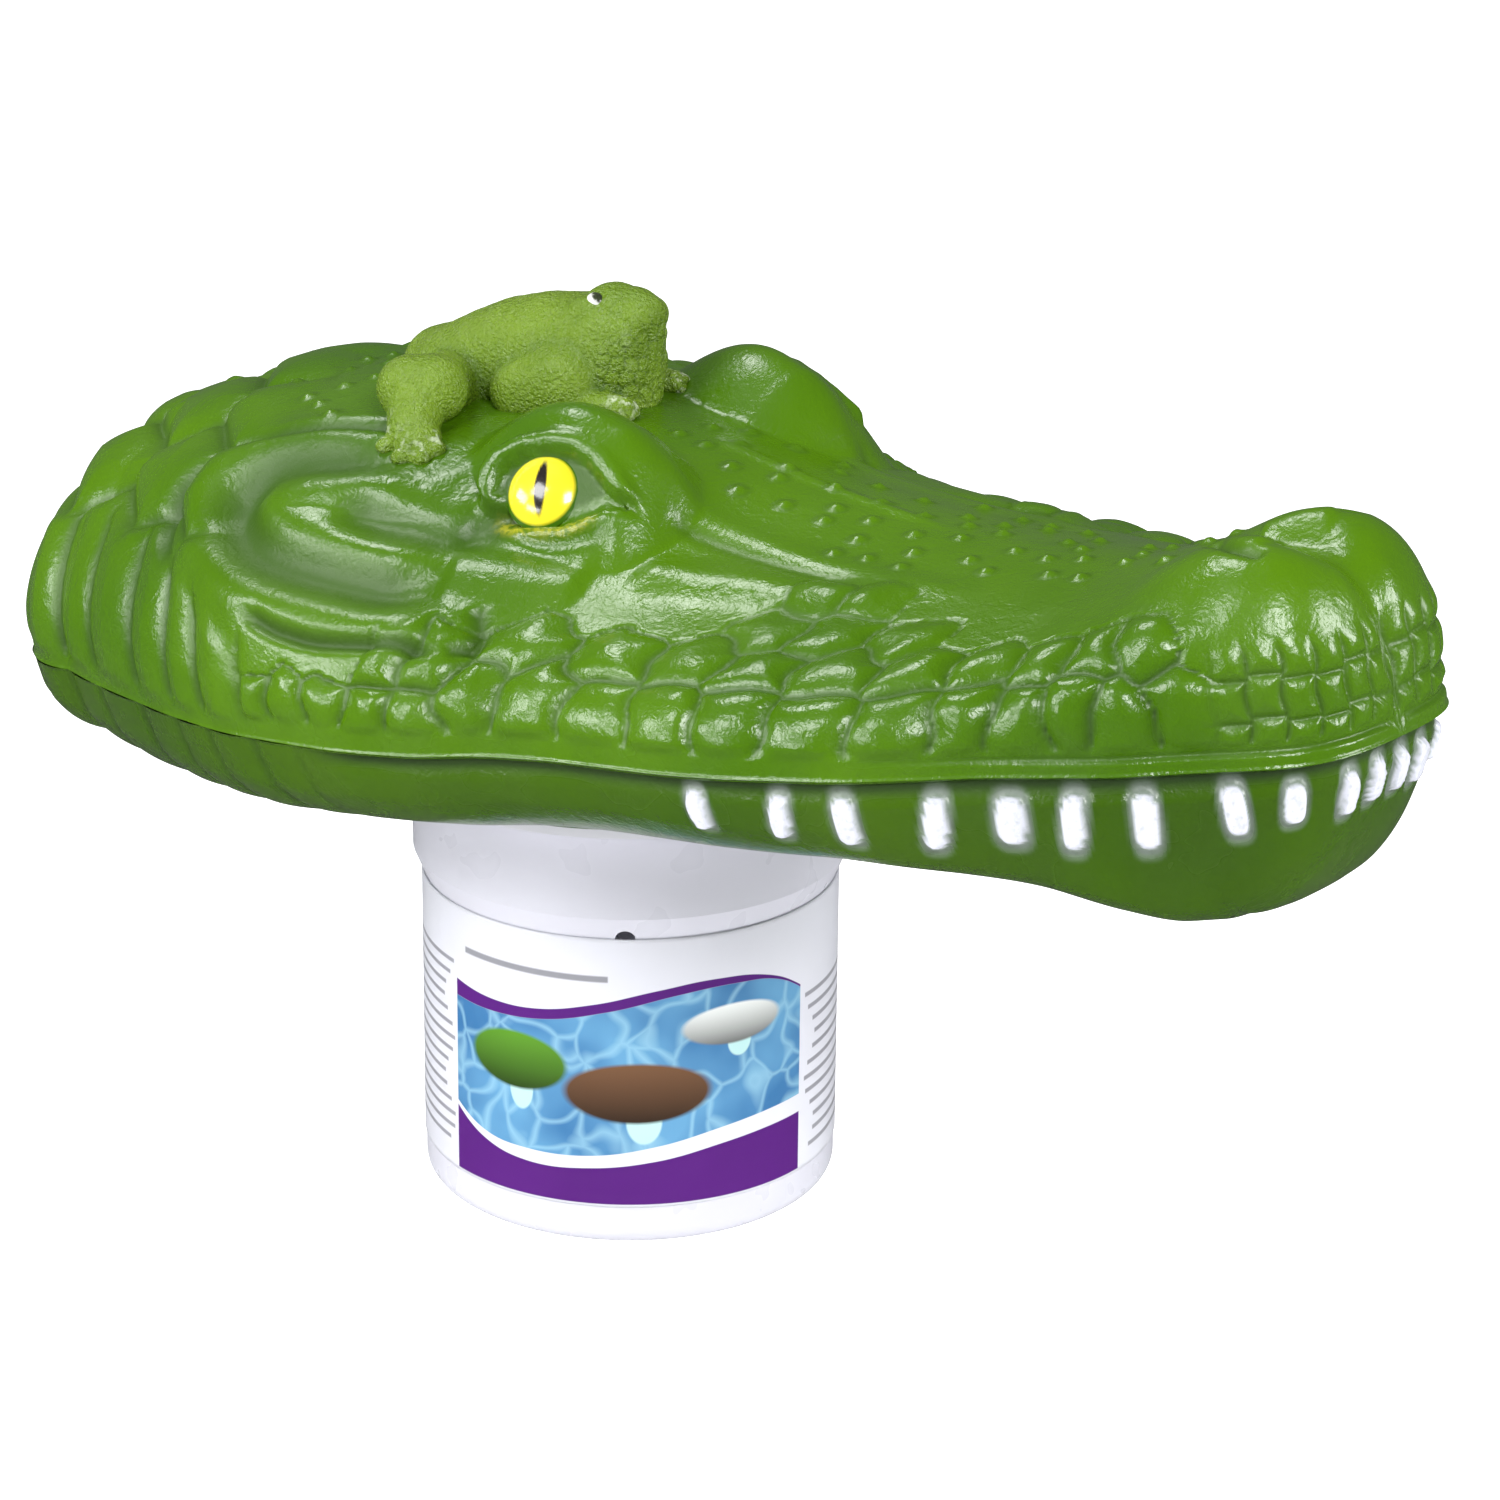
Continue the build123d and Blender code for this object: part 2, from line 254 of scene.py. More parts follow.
def new_piece(name, points, faces, material, layers=None):
    """Smooth-shaded mesh object in the row frame, with float layers on its points."""
    mesh = bpy.data.meshes.new(name)
    mesh.from_pydata([tuple(p) for p in points], [], [tuple(int(i) for i in f) for f in faces])
    mesh.polygons.foreach_set("use_smooth", np.ones(len(mesh.polygons), bool))
    for layer, values in (layers or {}).items():
        attribute = mesh.attributes.new(layer, "FLOAT", "POINT")
        attribute.data.foreach_set("value", np.asarray(values, np.float32))
    mesh.materials.append(material)
    mesh.update()
    return add_object(name, mesh)


def grid_faces(rows, columns, flip=False, close=False):
    """Quads over a grid of points, row by row; close joins the last column to the first."""
    index = np.arange(rows * columns).reshape(rows, columns)
    if close:
        index = np.concatenate([index, index[:, :1]], 1)
    a, b = index[:-1, :-1].ravel(), index[:-1, 1:].ravel()
    c, d = index[1:, 1:].ravel(), index[1:, :-1].ravel()
    order = (a, d, c, b) if flip else (a, b, c, d)
    return np.stack(order, 1)


def grid_normals(points, flip):
    along = np.gradient(points, axis=0)
    across = np.gradient(points, axis=1)
    normal = unit(np.cross(along, across))
    return -normal if flip else normal


# ---- the head's bare form ----
END_SHARE = 0.02
ROWS, NAPE_ROWS, NOSE_ROWS = 560, 112, 95
SIDE_COLUMNS = 150


def cap(x):
    """Share of the full section left in the rounded ends of the head."""
    nose = np.clip((x - NOSE_CAP) / (TIP - NOSE_CAP), 0, 1)
    nape = np.clip((NAPE_CAP - x) / (NAPE_CAP - NAPE), 0, 1)
    return (1 - nose**3) ** (1 / 3) * np.sqrt(1 - nape**2)


def row_places():
    """Places of the rows along the head, closer together over both rounded ends."""
    ends = np.arccos(END_SHARE)
    nape_turn = np.linspace(ends, 0, NAPE_ROWS, endpoint=False)
    nose_turn = np.linspace(0, ends, NOSE_ROWS)[1:]
    nape = NAPE_CAP - (NAPE_CAP - NAPE) * np.sin(nape_turn)
    nose = NOSE_CAP + (TIP - NOSE_CAP) * np.sin(nose_turn)
    body = np.linspace(NAPE_CAP, NOSE_CAP, ROWS - len(nape) - len(nose))
    return np.concatenate([nape, body, nose])


def side_shares():
    """Shares from the seam to the middle, with narrow columns beside the seam."""
    seam = np.array([0, 0.0022, 0.0045, 0.007, 0.010, 0.0135])
    return np.concatenate([seam, np.linspace(0.0175, 1, SIDE_COLUMNS - len(seam))])


class Surface:
    """The bare form of one half of the head, with the coordinates that its details use."""

    def __init__(self, crown):
        self.crown = crown
        places = row_places()
        shares = side_shares()
        across, up = self.section(places, shares)
        width = curve(HALF_WIDTH, places) * cap(places)
        height = curve(CROWN_HEIGHT if crown else JAW_DEPTH, places) * cap(places)
        y = across * width[:, None]
        h = up * height[:, None] * (1 if crown else -1)
        y = np.concatenate([-y, y[:, -2::-1]], axis=1)
        h = np.concatenate([h, h[:, -2::-1]], axis=1)
        x = np.repeat(places[:, None], y.shape[1], 1)
        if crown:
            h = h + brow_lift(x, y) + muzzle_lift(x, y)
        else:
            x = x - chin_setback(x, h)
        self.points = np.stack([x, y, h], -1)
        self.x, self.y, self.h = x, y, h
        self.normals = grid_normals(self.points, flip=not crown)
        self.s = self.from_seam()
        self.t = self.round_outline()

    def section(self, places, shares):
        """Shares of half-width and of height, for each row and column."""
        sections = CROWN_SECTIONS if self.crown else JAW_SECTIONS
        keys = sorted(sections)
        blended = []
        for part in (0, 1):
            lines = [rounded_line([p[part] for p in sections[key]], shares) for key in keys]
            columns = [curve(list(zip(keys, column)), places) for column in np.array(lines).T]
            blended.append(np.stack(columns, 1))
        return blended

    def from_seam(self):
        """Distance over the surface from the nearer seam; height above it at the nose."""
        gaps = np.linalg.norm(np.diff(self.points, axis=1), axis=-1)
        left = np.concatenate([np.zeros((len(gaps), 1)), np.cumsum(gaps, 1)], 1)
        near = np.minimum(left, left[:, -1:] - left)
        height = np.minimum(np.abs(self.h), 60)
        return near + step(CHIN_START, NOSE_CAP, self.x) * (height - near)

    def round_outline(self):
        """Distance round the seam's outline from the cup's axis: by place on the cheeks, by
        direction from a point inside the muzzle at the front."""
        fine = NAPE + (TIP - NAPE) * (1 - np.cos(np.linspace(0, np.pi, 3000))) / 2
        edge = curve(HALF_WIDTH, fine) * cap(fine)
        length = np.concatenate([[0], np.cumsum(np.hypot(np.diff(fine), np.diff(edge)))])
        length -= np.interp(0, fine, length)
        by_place = np.interp(self.x, fine, length)
        turn = np.arctan2(fine - MUZZLE_MIDDLE, edge)
        front = fine >= MUZZLE_MIDDLE
        direction = np.arctan2(self.x - MUZZLE_MIDDLE, np.abs(self.y))
        by_turn = np.interp(direction, turn[front], length[front])
        share = step(MUZZLE_MIDDLE, MUZZLE_MIDDLE + 28, self.x)
        return by_place + share * (by_turn - by_place)


MUZZLE_MIDDLE = 150
BROW_X, BROW_Y = 27, 34
BROW_RISE = 15.5
BROW_BACK, BROW_FRONT, BROW_SIDE = 34, 24, 20
CHIN_SLANT = 0.4
CHIN_START = 170
MOUND_X, MOUND_Y = 188, 18
MOUND_LENGTH, MOUND_WIDTH, MOUND_RISE = 24, 15, 4.5


def brow_lift(x, y):
    """Raised brows, long at the back and steep in front."""
    back = np.maximum(BROW_X - x, 0) / BROW_BACK
    front = np.maximum(x - BROW_X, 0) / BROW_FRONT
    side = (np.abs(y) - BROW_Y) / BROW_SIDE
    return BROW_RISE * np.clip(1 - back**2 - front**3 - side**2, 0, 1) ** 1.3


def muzzle_lift(x, y):
    """Low mounds under the two nostrils."""
    return MOUND_RISE * dome((x - MOUND_X) / MOUND_LENGTH, (np.abs(y) - MOUND_Y) / MOUND_WIDTH)


def chin_setback(x, h):
    """The chin's front slants back below the lip."""
    return CHIN_SLANT * -h * step(CHIN_START, TIP, x)


# ---- details of the crown ----
class Relief:
    """Rise along the surface's normal, and the painted shade that darkens its hollows."""

    def __init__(self, surface):
        self.at = surface
        self.rise = np.zeros(surface.x.shape)
        self.painted_shade = np.zeros(surface.x.shape)
        self.white = np.zeros(surface.x.shape)
        self.yellow = np.zeros(surface.x.shape)

    # Painted shade: the green darkens where the relief sinks into grooves, creases and recesses.
    def paint_shade(self, share):
        self.painted_shade = np.maximum(self.painted_shade, share)

    def ridge(self, route, height, width):
        self.rise += height * stroke(self.at.x, self.at.s, route, width * 3, width)

    def groove(self, route, depth, width, painted_shade):
        line = stroke(self.at.x, self.at.s, route, width * 3, width)
        self.rise -= depth * line
        # Painted shade along the groove.
        self.paint_shade(painted_shade * line)


# Routes over the cheek, as (place along the head, distance from the seam).
OUTER_FOLD = [
    (-2, 84), (-35, 79), (-54, 71), (-67, 58), (-65, 46), (-50, 37), (-29, 33), (-4, 31),
    (15, 30), (30, 28),
]
INNER_FOLD = [(-2, 72), (-24, 67), (-35, 61), (-38, 55), (-28, 51), (-8, 49), (12, 53)]
BETWEEN_FOLDS = [
    (-8, 76), (-34, 72), (-49, 65), (-53, 55), (-43, 46), (-25, 41), (-4, 40), (16, 43),
]
BEHIND_FOLDS = [(-14, 93), (-31, 88), (-50, 79), (-74, 66), (-82, 53), (-76, 42), (-64, 33)]
ABOVE_INNER_FOLD = [(-26, 60), (-10, 58), (2, 58), (10, 62), (16, 68)]
LOWER_EDGE = [(-34, 29), (-20, 25), (-9, 24), (9, 25), (23, 23)]
FRONT_EDGE = [(22, 24), (27, 27), (25, 33), (21, 39)]
SWELL_UNDER_EYE = [(8, 47), (18, 48), (30, 46), (42, 47)]
SWELL_IN_FRONT = [(46, 54), (60, 55), (78, 57), (98, 56), (112, 56)]


def cheek_folds(relief):
    """Two nested folds behind the eye, open towards it, with a crisp lower edge."""
    relief.ridge(OUTER_FOLD, 3.8, 10)
    relief.ridge(INNER_FOLD, 2.8, 8)
    relief.groove(BETWEEN_FOLDS, 4, 6.2, 0.8)
    relief.groove(ABOVE_INNER_FOLD, 2.6, 5, 0.6)
    relief.groove(LOWER_EDGE, 2.4, 1.8, 0.9)
    relief.groove(FRONT_EDGE, 1.8, 1.7, 0.7)
    relief.groove(BEHIND_FOLDS, 2.6, 3, 0.8)
    relief.ridge(SWELL_UNDER_EYE, 1.8, 7)
    relief.ridge(SWELL_IN_FRONT, 1.8, 6)


RIB_GAP = 15
RIB_WIDER = 0.3
RIB_LEAN = 0.16
RIB_START = (-163, -150)
RIB_TOP = [(-160, 28), (-125, 44), (-95, 46), (-66, 38), (-45, 30), (-30, 24), (-10, 22)]


def rib_edges(at, lean):
    """Number of the rib at each place, and the distance to its edge; wider to the back."""
    along = at.t + (lean * at.s + 1.6 * np.sin(at.t * 0.11 + 1))
    return stripes((along - RIB_WIDER * np.minimum(along + 60, 0)) / RIB_GAP, RIB_GAP)


def ribs(relief):
    """Upright folds under the cheek, from the nape to below the eye."""
    at = relief.at
    number, edge = rib_edges(at, RIB_LEAN)
    top = curve(RIB_TOP, at.x) + 2 * np.sin(number * 2.4)
    window = step(1.5, 6, at.s) * (1 - step(top - 7, top, at.s))
    window = window * step(*RIB_START, at.x) * (1 - step(-36, -26, at.x))
    relief.rise += window * (3 * (1 - np.exp(-edge / 3.4)) - 1.4)
    # Painted shade in the grooves between the ribs.
    relief.paint_shade(0.7 * window * bell(edge, 1.5))


# Upper limit of the lip scales, and rough size of one, by distance round the outline.
LIP_LIMIT = [
    (-34, 22), (8, 23), (20, 34), (40, 38), (56, 40), (69, 44), (84, 48), (92, 59), (99, 64),
    (108, 61), (116, 55), (130, 46), (148, 41), (160, 42), (177, 38), (198, 30), (215, 24),
    (230, 20),
]
LIP_SIZE = [(-34, 7.5), (22, 8.5), (40, 12.5), (130, 12), (170, 10), (230, 9)]
# Rows of the larger scales: distance from the seam, and gap between seeds.
LIP_ROWS = [(13, 17), (28, 19), (42.5, 18), (55.5, 15), (67, 14)]


def lip_seeds():
    """Seeds of the scales: small and square below the cheek, larger and uneven on the lip."""
    rng = np.random.default_rng(SEED + 6)
    seeds = [lattice((-38, 24), (10, 30), 11.5, 11.5, 0.14, SEED, 0.12)]
    for k, (level, gap) in enumerate(LIP_ROWS):
        place = 30 + gap * 0.5 * (k % 2)
        while place < 212:
            seeds.append(np.array([[place, level + rng.uniform(-1.6, 1.6)]]))
            narrow = 1 - 0.3 * float(step(130, 165, place))
            place += gap * narrow * rng.uniform(0.8, 1.2)
    return np.concatenate(seeds)


def lip_scales(relief):
    """Pillow-like scales in uneven rows on the upper lip, from the cheek to the muzzle."""
    at = relief.at
    seeds = lip_seeds()
    wander = 0.8 * np.sin(at.t * 0.31 + at.s * 0.23) + 0.6 * np.sin(at.s * 0.5 - at.t * 0.17)
    u, v = at.t + wander, at.s + 0.7 * wander
    edge, middle, own = cells(u, v, seeds)
    seed_in = seeds[own][..., 1] < curve(LIP_LIMIT, seeds[own][..., 0]) - 2
    limit = curve(LIP_LIMIT, at.t)
    inside = step(4, 7, at.s) * (1 - step(limit + 3, limit + 8, at.s)) * seed_in
    inside = inside * step(-34, -28, at.t) * (1 - step(204, 212, at.t))
    inside = inside * (1 - 0.45 * step(30, 60, at.s))
    rng = np.random.default_rng(SEED + 8)
    high = rng.uniform(0.75, 1.15, len(seeds))[own]
    pillow = high * (1 - np.exp(-edge / 2.1))
    crest = high * dome(middle / curve(LIP_SIZE, at.t), 0)
    relief.rise += inside * (2 * pillow + 1.2 * crest - 1.2)
    # Painted shade in the grooves between the scales.
    relief.paint_shade(0.7 * inside * bell(edge, 0.7))


RAIL_EDGE = 3.6


def lip_rail(relief):
    """Smooth band between the seam and the lip scales, a little proud of the jaw."""
    at = relief.at
    front = step(120, 165, at.x)
    relief.rise += 0.7 * front * (1 - step(2.6, 4.2, at.s))
    relief.rise -= 0.5 * front * bell(at.s - RAIL_EDGE, 0.7)
    # Painted shade along the groove at the rail's edge.
    relief.paint_shade(0.3 * front * bell(at.s - RAIL_EDGE, 0.6))


NOSE_COLUMN = 7.4
NOSE_LEVELS = (10, 19)


def nose_columns(relief):
    """Narrow upright scales across the front of the muzzle, in three low rows."""
    at = relief.at
    place = (at.t + 0.5 * np.sin(at.s * 0.5)) / NOSE_COLUMN
    number, edge = stripes(place, NOSE_COLUMN)
    shift = 0.9 * np.sin(number * 2)
    for level in NOSE_LEVELS:
        edge = np.minimum(edge, np.abs(at.s - level - shift))
    window = step(204, 211, at.t) * step(4.5, 6.5, at.s) * (1 - step(22, 28, at.s))
    relief.rise += window * (1.5 * (1 - np.exp(-edge / 1.4)) - 0.6)
    # Painted shade in the grooves between the scales.
    relief.paint_shade(0.4 * window * bell(edge, 0.7))


SCUTE_LENGTH, SCUTE_WIDTH = 35, 27


def nape_scutes(relief):
    """Large overlapping scales over the back of the head, each tipped up at its rear edge."""
    at = relief.at
    seeds = lattice((-190, -20), (32, 160), SCUTE_LENGTH, SCUTE_WIDTH, 0.12, SEED + 1)
    place = at.x - 0.15 * at.s
    edge, _, own = cells(place, at.s, seeds)
    window = (1 - step(-74, -50, at.x + 0.25 * (at.s - 60))) * step(34, 46, at.s)
    tilt = (seeds[own][..., 0] - place) / SCUTE_LENGTH
    pillow = 1 - np.exp(-edge / 4.5)
    relief.rise += window * (4.6 * pillow - 3.2 + 3 * tilt * pillow)
    # Painted shade along the grooves between the scutes.
    relief.paint_shade(0.7 * window * bell(edge, 1.7))


# Half-width of the field of studs, by place along the head.
STUD_FIELD = [(-74, 42), (-40, 42), (40, 24), (60, 20), (100, 26), (150, 16), (186, 8)]
STUD_RADIUS, STUD_RISE = 2.1, 1.15


def studs(relief):
    """Small round studs strewn over the forehead and the bridge of the snout."""
    at = relief.at
    seeds = lattice((-74, 186), (-44, 44), 12, 9.5, 0.32, SEED + 2)
    width = np.interp(seeds[:, 0], *zip(*STUD_FIELD))
    brows = dome((seeds[:, 0] - BROW_X) / 34, (np.abs(seeds[:, 1]) - BROW_Y) / 18) > 0
    frog = (seeds[:, 0] < 24) & (seeds[:, 0] > -46)
    seeds = seeds[(np.abs(seeds[:, 1]) < width) & ~brows & ~frog]
    _, middle, _ = cells(at.x, at.y, seeds)
    top = step(20, 30, at.s)
    relief.rise += STUD_RISE * top * dome(middle / STUD_RADIUS, 0)
    # Painted shade in a ring round the foot of each stud.
    relief.paint_shade(0.35 * top * bell(middle - 2.3, 0.6))


EYE_MIDDLE = np.array([23, -47, 50])
EYE_FORWARD = unit(np.array([15, 6, 1]))
EYE_OUT = unit(np.cross(EYE_FORWARD, [-2, 8, 13]))
EYE_UP = np.cross(EYE_OUT, EYE_FORWARD)
EYE_OUTLINE = [
    (-16.4, -1.6), (-15.6, 4.6), (-12.4, 9.6), (-6.5, 12.6), (0.3, 13.2), (6.9, 11.9), (12, 8.6),
    (16.4, 3.6), (19.6, -1.8), (22.5, -7.2), (14.5, -6.8), (9.5, -8.7), (4, -9.8), (-4.5, -9.5),
    (-12, -6.2),
]
EYE_RADIUS = 8.1
EYE_SHIFT = -1.8
RING_OUT = 0.6
SOCKET_DEPTH = 3.4
LOWER_LID = [(-14, -4.8), (-7, -8.9), (4, -10.4), (14, -7.6)]
# Soft lines round the eye: route (forward, up), reach, width and rise.
EYE_LINES = [
    ([(15, 15), (22, 9), (28, 1), (31, -8)], 8, 4.5, 0.5),
    ([(-34, -4), (-24, 9), (-14, 17), (0, 20.5), (13, 17), (23, 7), (31, -4)], 8, 3.4, 0.6),
    (LOWER_LID, 4, 1.1, 0.7),
    ([(-22, -8), (-12, -12), (4, -14.5), (18, -12)], 8, 3.5, -1.4),
]


def eye_place(points):
    """Coordinates in the plane of the nearer eye: forward, up and out."""
    mirrored = points * (1, -1, 1)
    facing = np.where(points[..., 1:2] > 0, mirrored, points) - EYE_MIDDLE
    return facing @ EYE_FORWARD, facing @ EYE_UP, facing @ EYE_OUT


def eye_sockets(relief):
    """Almond recess round each eye, with a rounded rim and the brow's edge above it."""
    at = relief.at
    forward, up, out = eye_place(at.points)
    near = (np.hypot(forward, up) < 42) & (np.abs(out) < 25)
    gap = np.full(forward.shape, 99.0)
    gap[near] = polygon_distance(forward[near], up[near], EYE_OUTLINE)
    face = step(1.6, -0.8, gap) * step(-6, -2, up)
    mirrored = np.where(at.y[..., None] > 0, at.normals * (1, -1, 1), at.normals)
    outward = np.maximum(mirrored @ EYE_OUT, 0.5)
    relief.rise += face * np.clip((RING_OUT - out) / outward, -8, 8)
    wall = 0.2 + 3.2 * step(-6.5, 0, up)
    relief.rise -= SOCKET_DEPTH * np.clip((-gap - wall) / 1.1, 0, 1)
    # Painted shade deep in the recess round the eye.
    relief.paint_shade(0.6 * step(-4.4, -5.2, gap))
    for route, reach, width, rise in EYE_LINES:
        relief.rise += rise * near * stroke(forward, up, route, reach, width)
    relief.yellow = near * stroke(forward, up, LOWER_LID, 4, 1)


SNOUT_RIDGE = [(40, 30), (50, 27), (63, 27), (85, 27.5), (105, 27), (130, 27)]
SNOUT_CREASE = [(46, 33), (60, 32), (80, 32.5), (100, 32)]
SNOUT_MIDDLE = [(30, 0), (60, 0.5), (100, -0.5)]
NOSTRIL = [(178, 10), (184, 15), (191, 18), (198, 18.5)]
NOSTRIL_LID = [(178, 7), (186, 10), (195, 13)]


def snout_ridges(relief):
    """Low ridge from each brow towards its nostril, with a crease outside it."""
    at = relief.at
    side = np.abs(at.y)
    relief.rise += 0.7 * stroke(at.x, side, SNOUT_RIDGE, 12, 4)
    crease, fade = along_route(at.x, side, SNOUT_CREASE, 10)
    relief.rise -= 0.8 * bell(crease, 2) * fade
    # Painted shade in the crease.
    relief.paint_shade(0.4 * bell(crease, 1.6) * fade)
    relief.rise += 0.8 * stroke(at.x, at.y, SNOUT_MIDDLE, 6, 1.6)


def nostrils(relief):
    """Crescent slit on each nostril mound, and a valley between the two mounds."""
    at = relief.at
    side = np.abs(at.y)
    top = step(18, 26, at.h)
    slit, fade = along_route(at.x, side, NOSTRIL, 8)
    relief.rise -= 2.2 * bell(slit, 1.9) * fade * top
    # Painted shade in the slit.
    relief.paint_shade(0.7 * bell(slit, 1.6) * fade * top)
    relief.rise += 1.2 * stroke(at.x, side, NOSTRIL_LID, 10, 4) * top
    relief.rise -= 1.6 * bell(side, 4.5) * step(178, 190, at.x) * step(8, 22, at.h)


FLASH_RISE, FLASH_WIDTH = 0.35, 0.5


def seam_flash(relief):
    """Thin flash left along the seam by the mould."""
    relief.rise += FLASH_RISE * bell(relief.at.s, FLASH_WIDTH)


CROWN_DETAILS = (
    cheek_folds, ribs, lip_scales, lip_rail, nose_columns, nape_scutes, studs, eye_sockets,
    snout_ridges, nostrils, seam_flash,
)


# ---- details of the jaw ----
# Teeth along one side: place, half-width there, depth below the seam, width and height.
TEETH = [
    (90, -81, -8, 4.6, 9.5), (109, -77, -9, 4.6, 10.5), (124, -72, -9.5, 5, 11.5),
    (140, -63, -10.5, 5.2, 12.5), (155, -56, -10, 6.4, 11), (167, -51, -10.5, 5.2, 12.5),
    (181, -43, -10.5, 5.2, 12.5), (196, -33, -9.5, 5, 11.5), (205, -25, -8.5, 4.8, 9.5),
    (209, -13, -9, 4.6, 11), (211, -4.2, -8.5, 4.4, 10.5),
]
TOOTH_RISE = 1.5


def tooth_reach(at, place, lean, width, height):
    """Distance from a tooth's middle, as a share of its size; far away on the rest."""
    gap = np.linalg.norm(at.points - np.array(place), axis=-1)
    nearest = np.unravel_index(gap.argmin(), gap.shape)
    level = unit(np.cross(at.normals[nearest], [0, 0, 1]))
    down = np.cross(at.normals[nearest], level)
    near = gap < 20
    offset = (at.points - at.points[nearest])[near]
    b = offset @ down
    a = offset @ level + lean * b
    reach = np.full(gap.shape, 9.0)
    shape = (np.abs(a) / (width / 2)) ** 3 + (np.abs(b) / (height / 2)) ** 3.4
    reach[near] = shape ** (1 / 3)
    return reach


def teeth(relief):
    """Rounded upright teeth moulded on the jaw, each with a fine groove round it."""
    rng = np.random.default_rng(SEED + 3)
    for x, y, h, width, height in TEETH:
        lean = rng.uniform(-0.12, 0.12)
        for side in (1, -1):
            reach = tooth_reach(relief.at, (x, side * y, h), lean, width, height)
            relief.rise += TOOTH_RISE * (1 - step(0.72, 1.06, reach))
            relief.rise -= 0.5 * bell(reach - 1.24, 0.15)
            paint = np.maximum(1 - step(0.9, 1.04, reach), 0.26 * (1 - step(1, 1.7, reach)))
            relief.white = np.maximum(relief.white, paint)
            # Painted shade in the groove round each tooth.
            relief.paint_shade(0.6 * bell(reach - 1.18, 0.12))


def lip_groove(relief):
    """The jaw steps in under the crown's lip, with painted shade in the step."""
    at = relief.at
    front = step(-14, 6, at.x)
    relief.rise -= 1.3 * front * step(0.3, 1.6, at.s) * (1 - step(2.5, 7, at.s))
    # Painted shade in the step under the crown's lip.
    relief.paint_shade(0.9 * front * step(0.2, 1, at.s) * (1 - step(1.6, 5, at.s)))


def jaw_ribs(relief):
    """The cheek's upright folds run on faintly below the seam at the back."""
    at = relief.at
    _, edge = rib_edges(at, -RIB_LEAN)
    window = (1 - step(-30, 2, at.x)) * (1 - step(22, 34, at.s)) * step(*RIB_START, at.x)
    relief.rise += 0.9 * window * (1 - np.exp(-edge / 2.4) - 0.5)
    # Painted shade in the grooves between the ribs.
    relief.paint_shade(0.35 * window * bell(edge, 1.3))


JAW_DETAILS = (lip_groove, jaw_ribs, teeth, seam_flash)


def tip_fans(moved, flip):
    """Closes both ends of the head with a fan onto one point on the seam."""
    rows, columns = moved.shape[:2]
    first = rows * columns
    points = np.stack([(moved[row, 0] + moved[row, -1]) / 2 for row in (0, -1)])
    faces = []
    for k in range(columns - 1):
        nape = (first, k + 1, k)
        nose = (first + 1, (rows - 1) * columns + k, (rows - 1) * columns + k + 1)
        faces += [nape[::-1], nose[::-1]] if flip else [nape, nose]
    return points, faces


def head_half(name, crown, material, keep=None):
    """One half of the head, with only the faces whose points pass keep."""
    surface = Surface(crown)
    relief = Relief(surface)
    for detail in CROWN_DETAILS if crown else JAW_DETAILS:
        detail(relief)
    moved = surface.points + surface.normals * relief.rise[..., None]
    rows, columns = relief.rise.shape
    ends, fans = tip_fans(moved, flip=crown)
    points = np.concatenate([moved.reshape(-1, 3), ends])
    faces = [tuple(f) for f in grid_faces(rows, columns, flip=crown)] + fans
    paint = {"painted_shade": relief.painted_shade, "white": relief.white, "yellow": relief.yellow}
    layers = {layer: np.append(values.ravel(), [0, 0]) for layer, values in paint.items()}
    row_points = to_row(points)
    if keep is not None:
        good = keep(row_points)
        faces = [f for f in faces if all(good[i] for i in f)]
    piece = new_piece(name, row_points, faces, material, layers)
    return piece, surface


# ---- materials ----
class Shader:
    """Short way to add nodes to a principled material."""

    def __init__(self, name):
        self.material = bpy.data.materials.new(name)
        self.material.use_nodes = True
        self.nodes = self.material.node_tree.nodes
        self.links = self.material.node_tree.links
        self.surface = self.nodes["Principled BSDF"]

    def add(self, kind, inputs=None, **settings):
        node = self.nodes.new(kind)
        for key, value in settings.items():
            setattr(node, key, value)
        for key, value in (inputs or {}).items():
            self.put(node, key, value)
        return node

    def put(self, node, key, value):
        if isinstance(value, bpy.types.NodeSocket):
            self.links.new(value, node.inputs[key])
        else:
            node.inputs[key].default_value = value

    def maths(self, operation, *values):
        inputs = dict(enumerate(values))
        return self.add("ShaderNodeMath", inputs, operation=operation).outputs[0]

    def times(self, first, second):
        return self.maths("MULTIPLY", first, second)

    def mix(self, share, first, second):
        inputs = {0: share, 6: first, 7: second}
        return self.add("ShaderNodeMix", inputs, data_type="RGBA").outputs[2]

    def coats(self, paint, *coats):
        """Paint with further coats over it, each given as its share and colour."""
        for share, tint in coats:
            paint = self.mix(share, paint, colour(*tint))
        return paint

    def layer(self, name):
        return self.add("ShaderNodeAttribute", attribute_name=name).outputs["Fac"]

    def place(self):
        return self.add("ShaderNodeTexCoord").outputs["Object"]

    def noise(self, scale, detail=2, roughness=0.5, distortion=0):
        inputs = {"Vector": self.place(), "Scale": scale, "Detail": detail}
        inputs.update(Roughness=roughness, Distortion=distortion)
        return self.add("ShaderNodeTexNoise", inputs).outputs["Fac"]

    def span(self, value, low, high, to_low=0, to_high=1):
        inputs = {"Value": value, 1: low, 2: high, 3: to_low, 4: to_high}
        return self.add("ShaderNodeMapRange", inputs).outputs[0]

    def patches(self, scale, detail, low=0.3, high=0.7, to_low=0, to_high=1):
        """Noise stretched so that it runs from one value to the other."""
        return self.span(self.noise(scale, detail), low, high, to_low, to_high)

    def bump(self, height, strength, distance):
        inputs = {"Height": height, "Strength": strength, "Distance": distance}
        self.set(Normal=self.add("ShaderNodeBump", inputs).outputs[0])

    def set(self, **values):
        for key, value in values.items():
            self.put(self.surface, key.replace("_", " "), value)
        return self.material


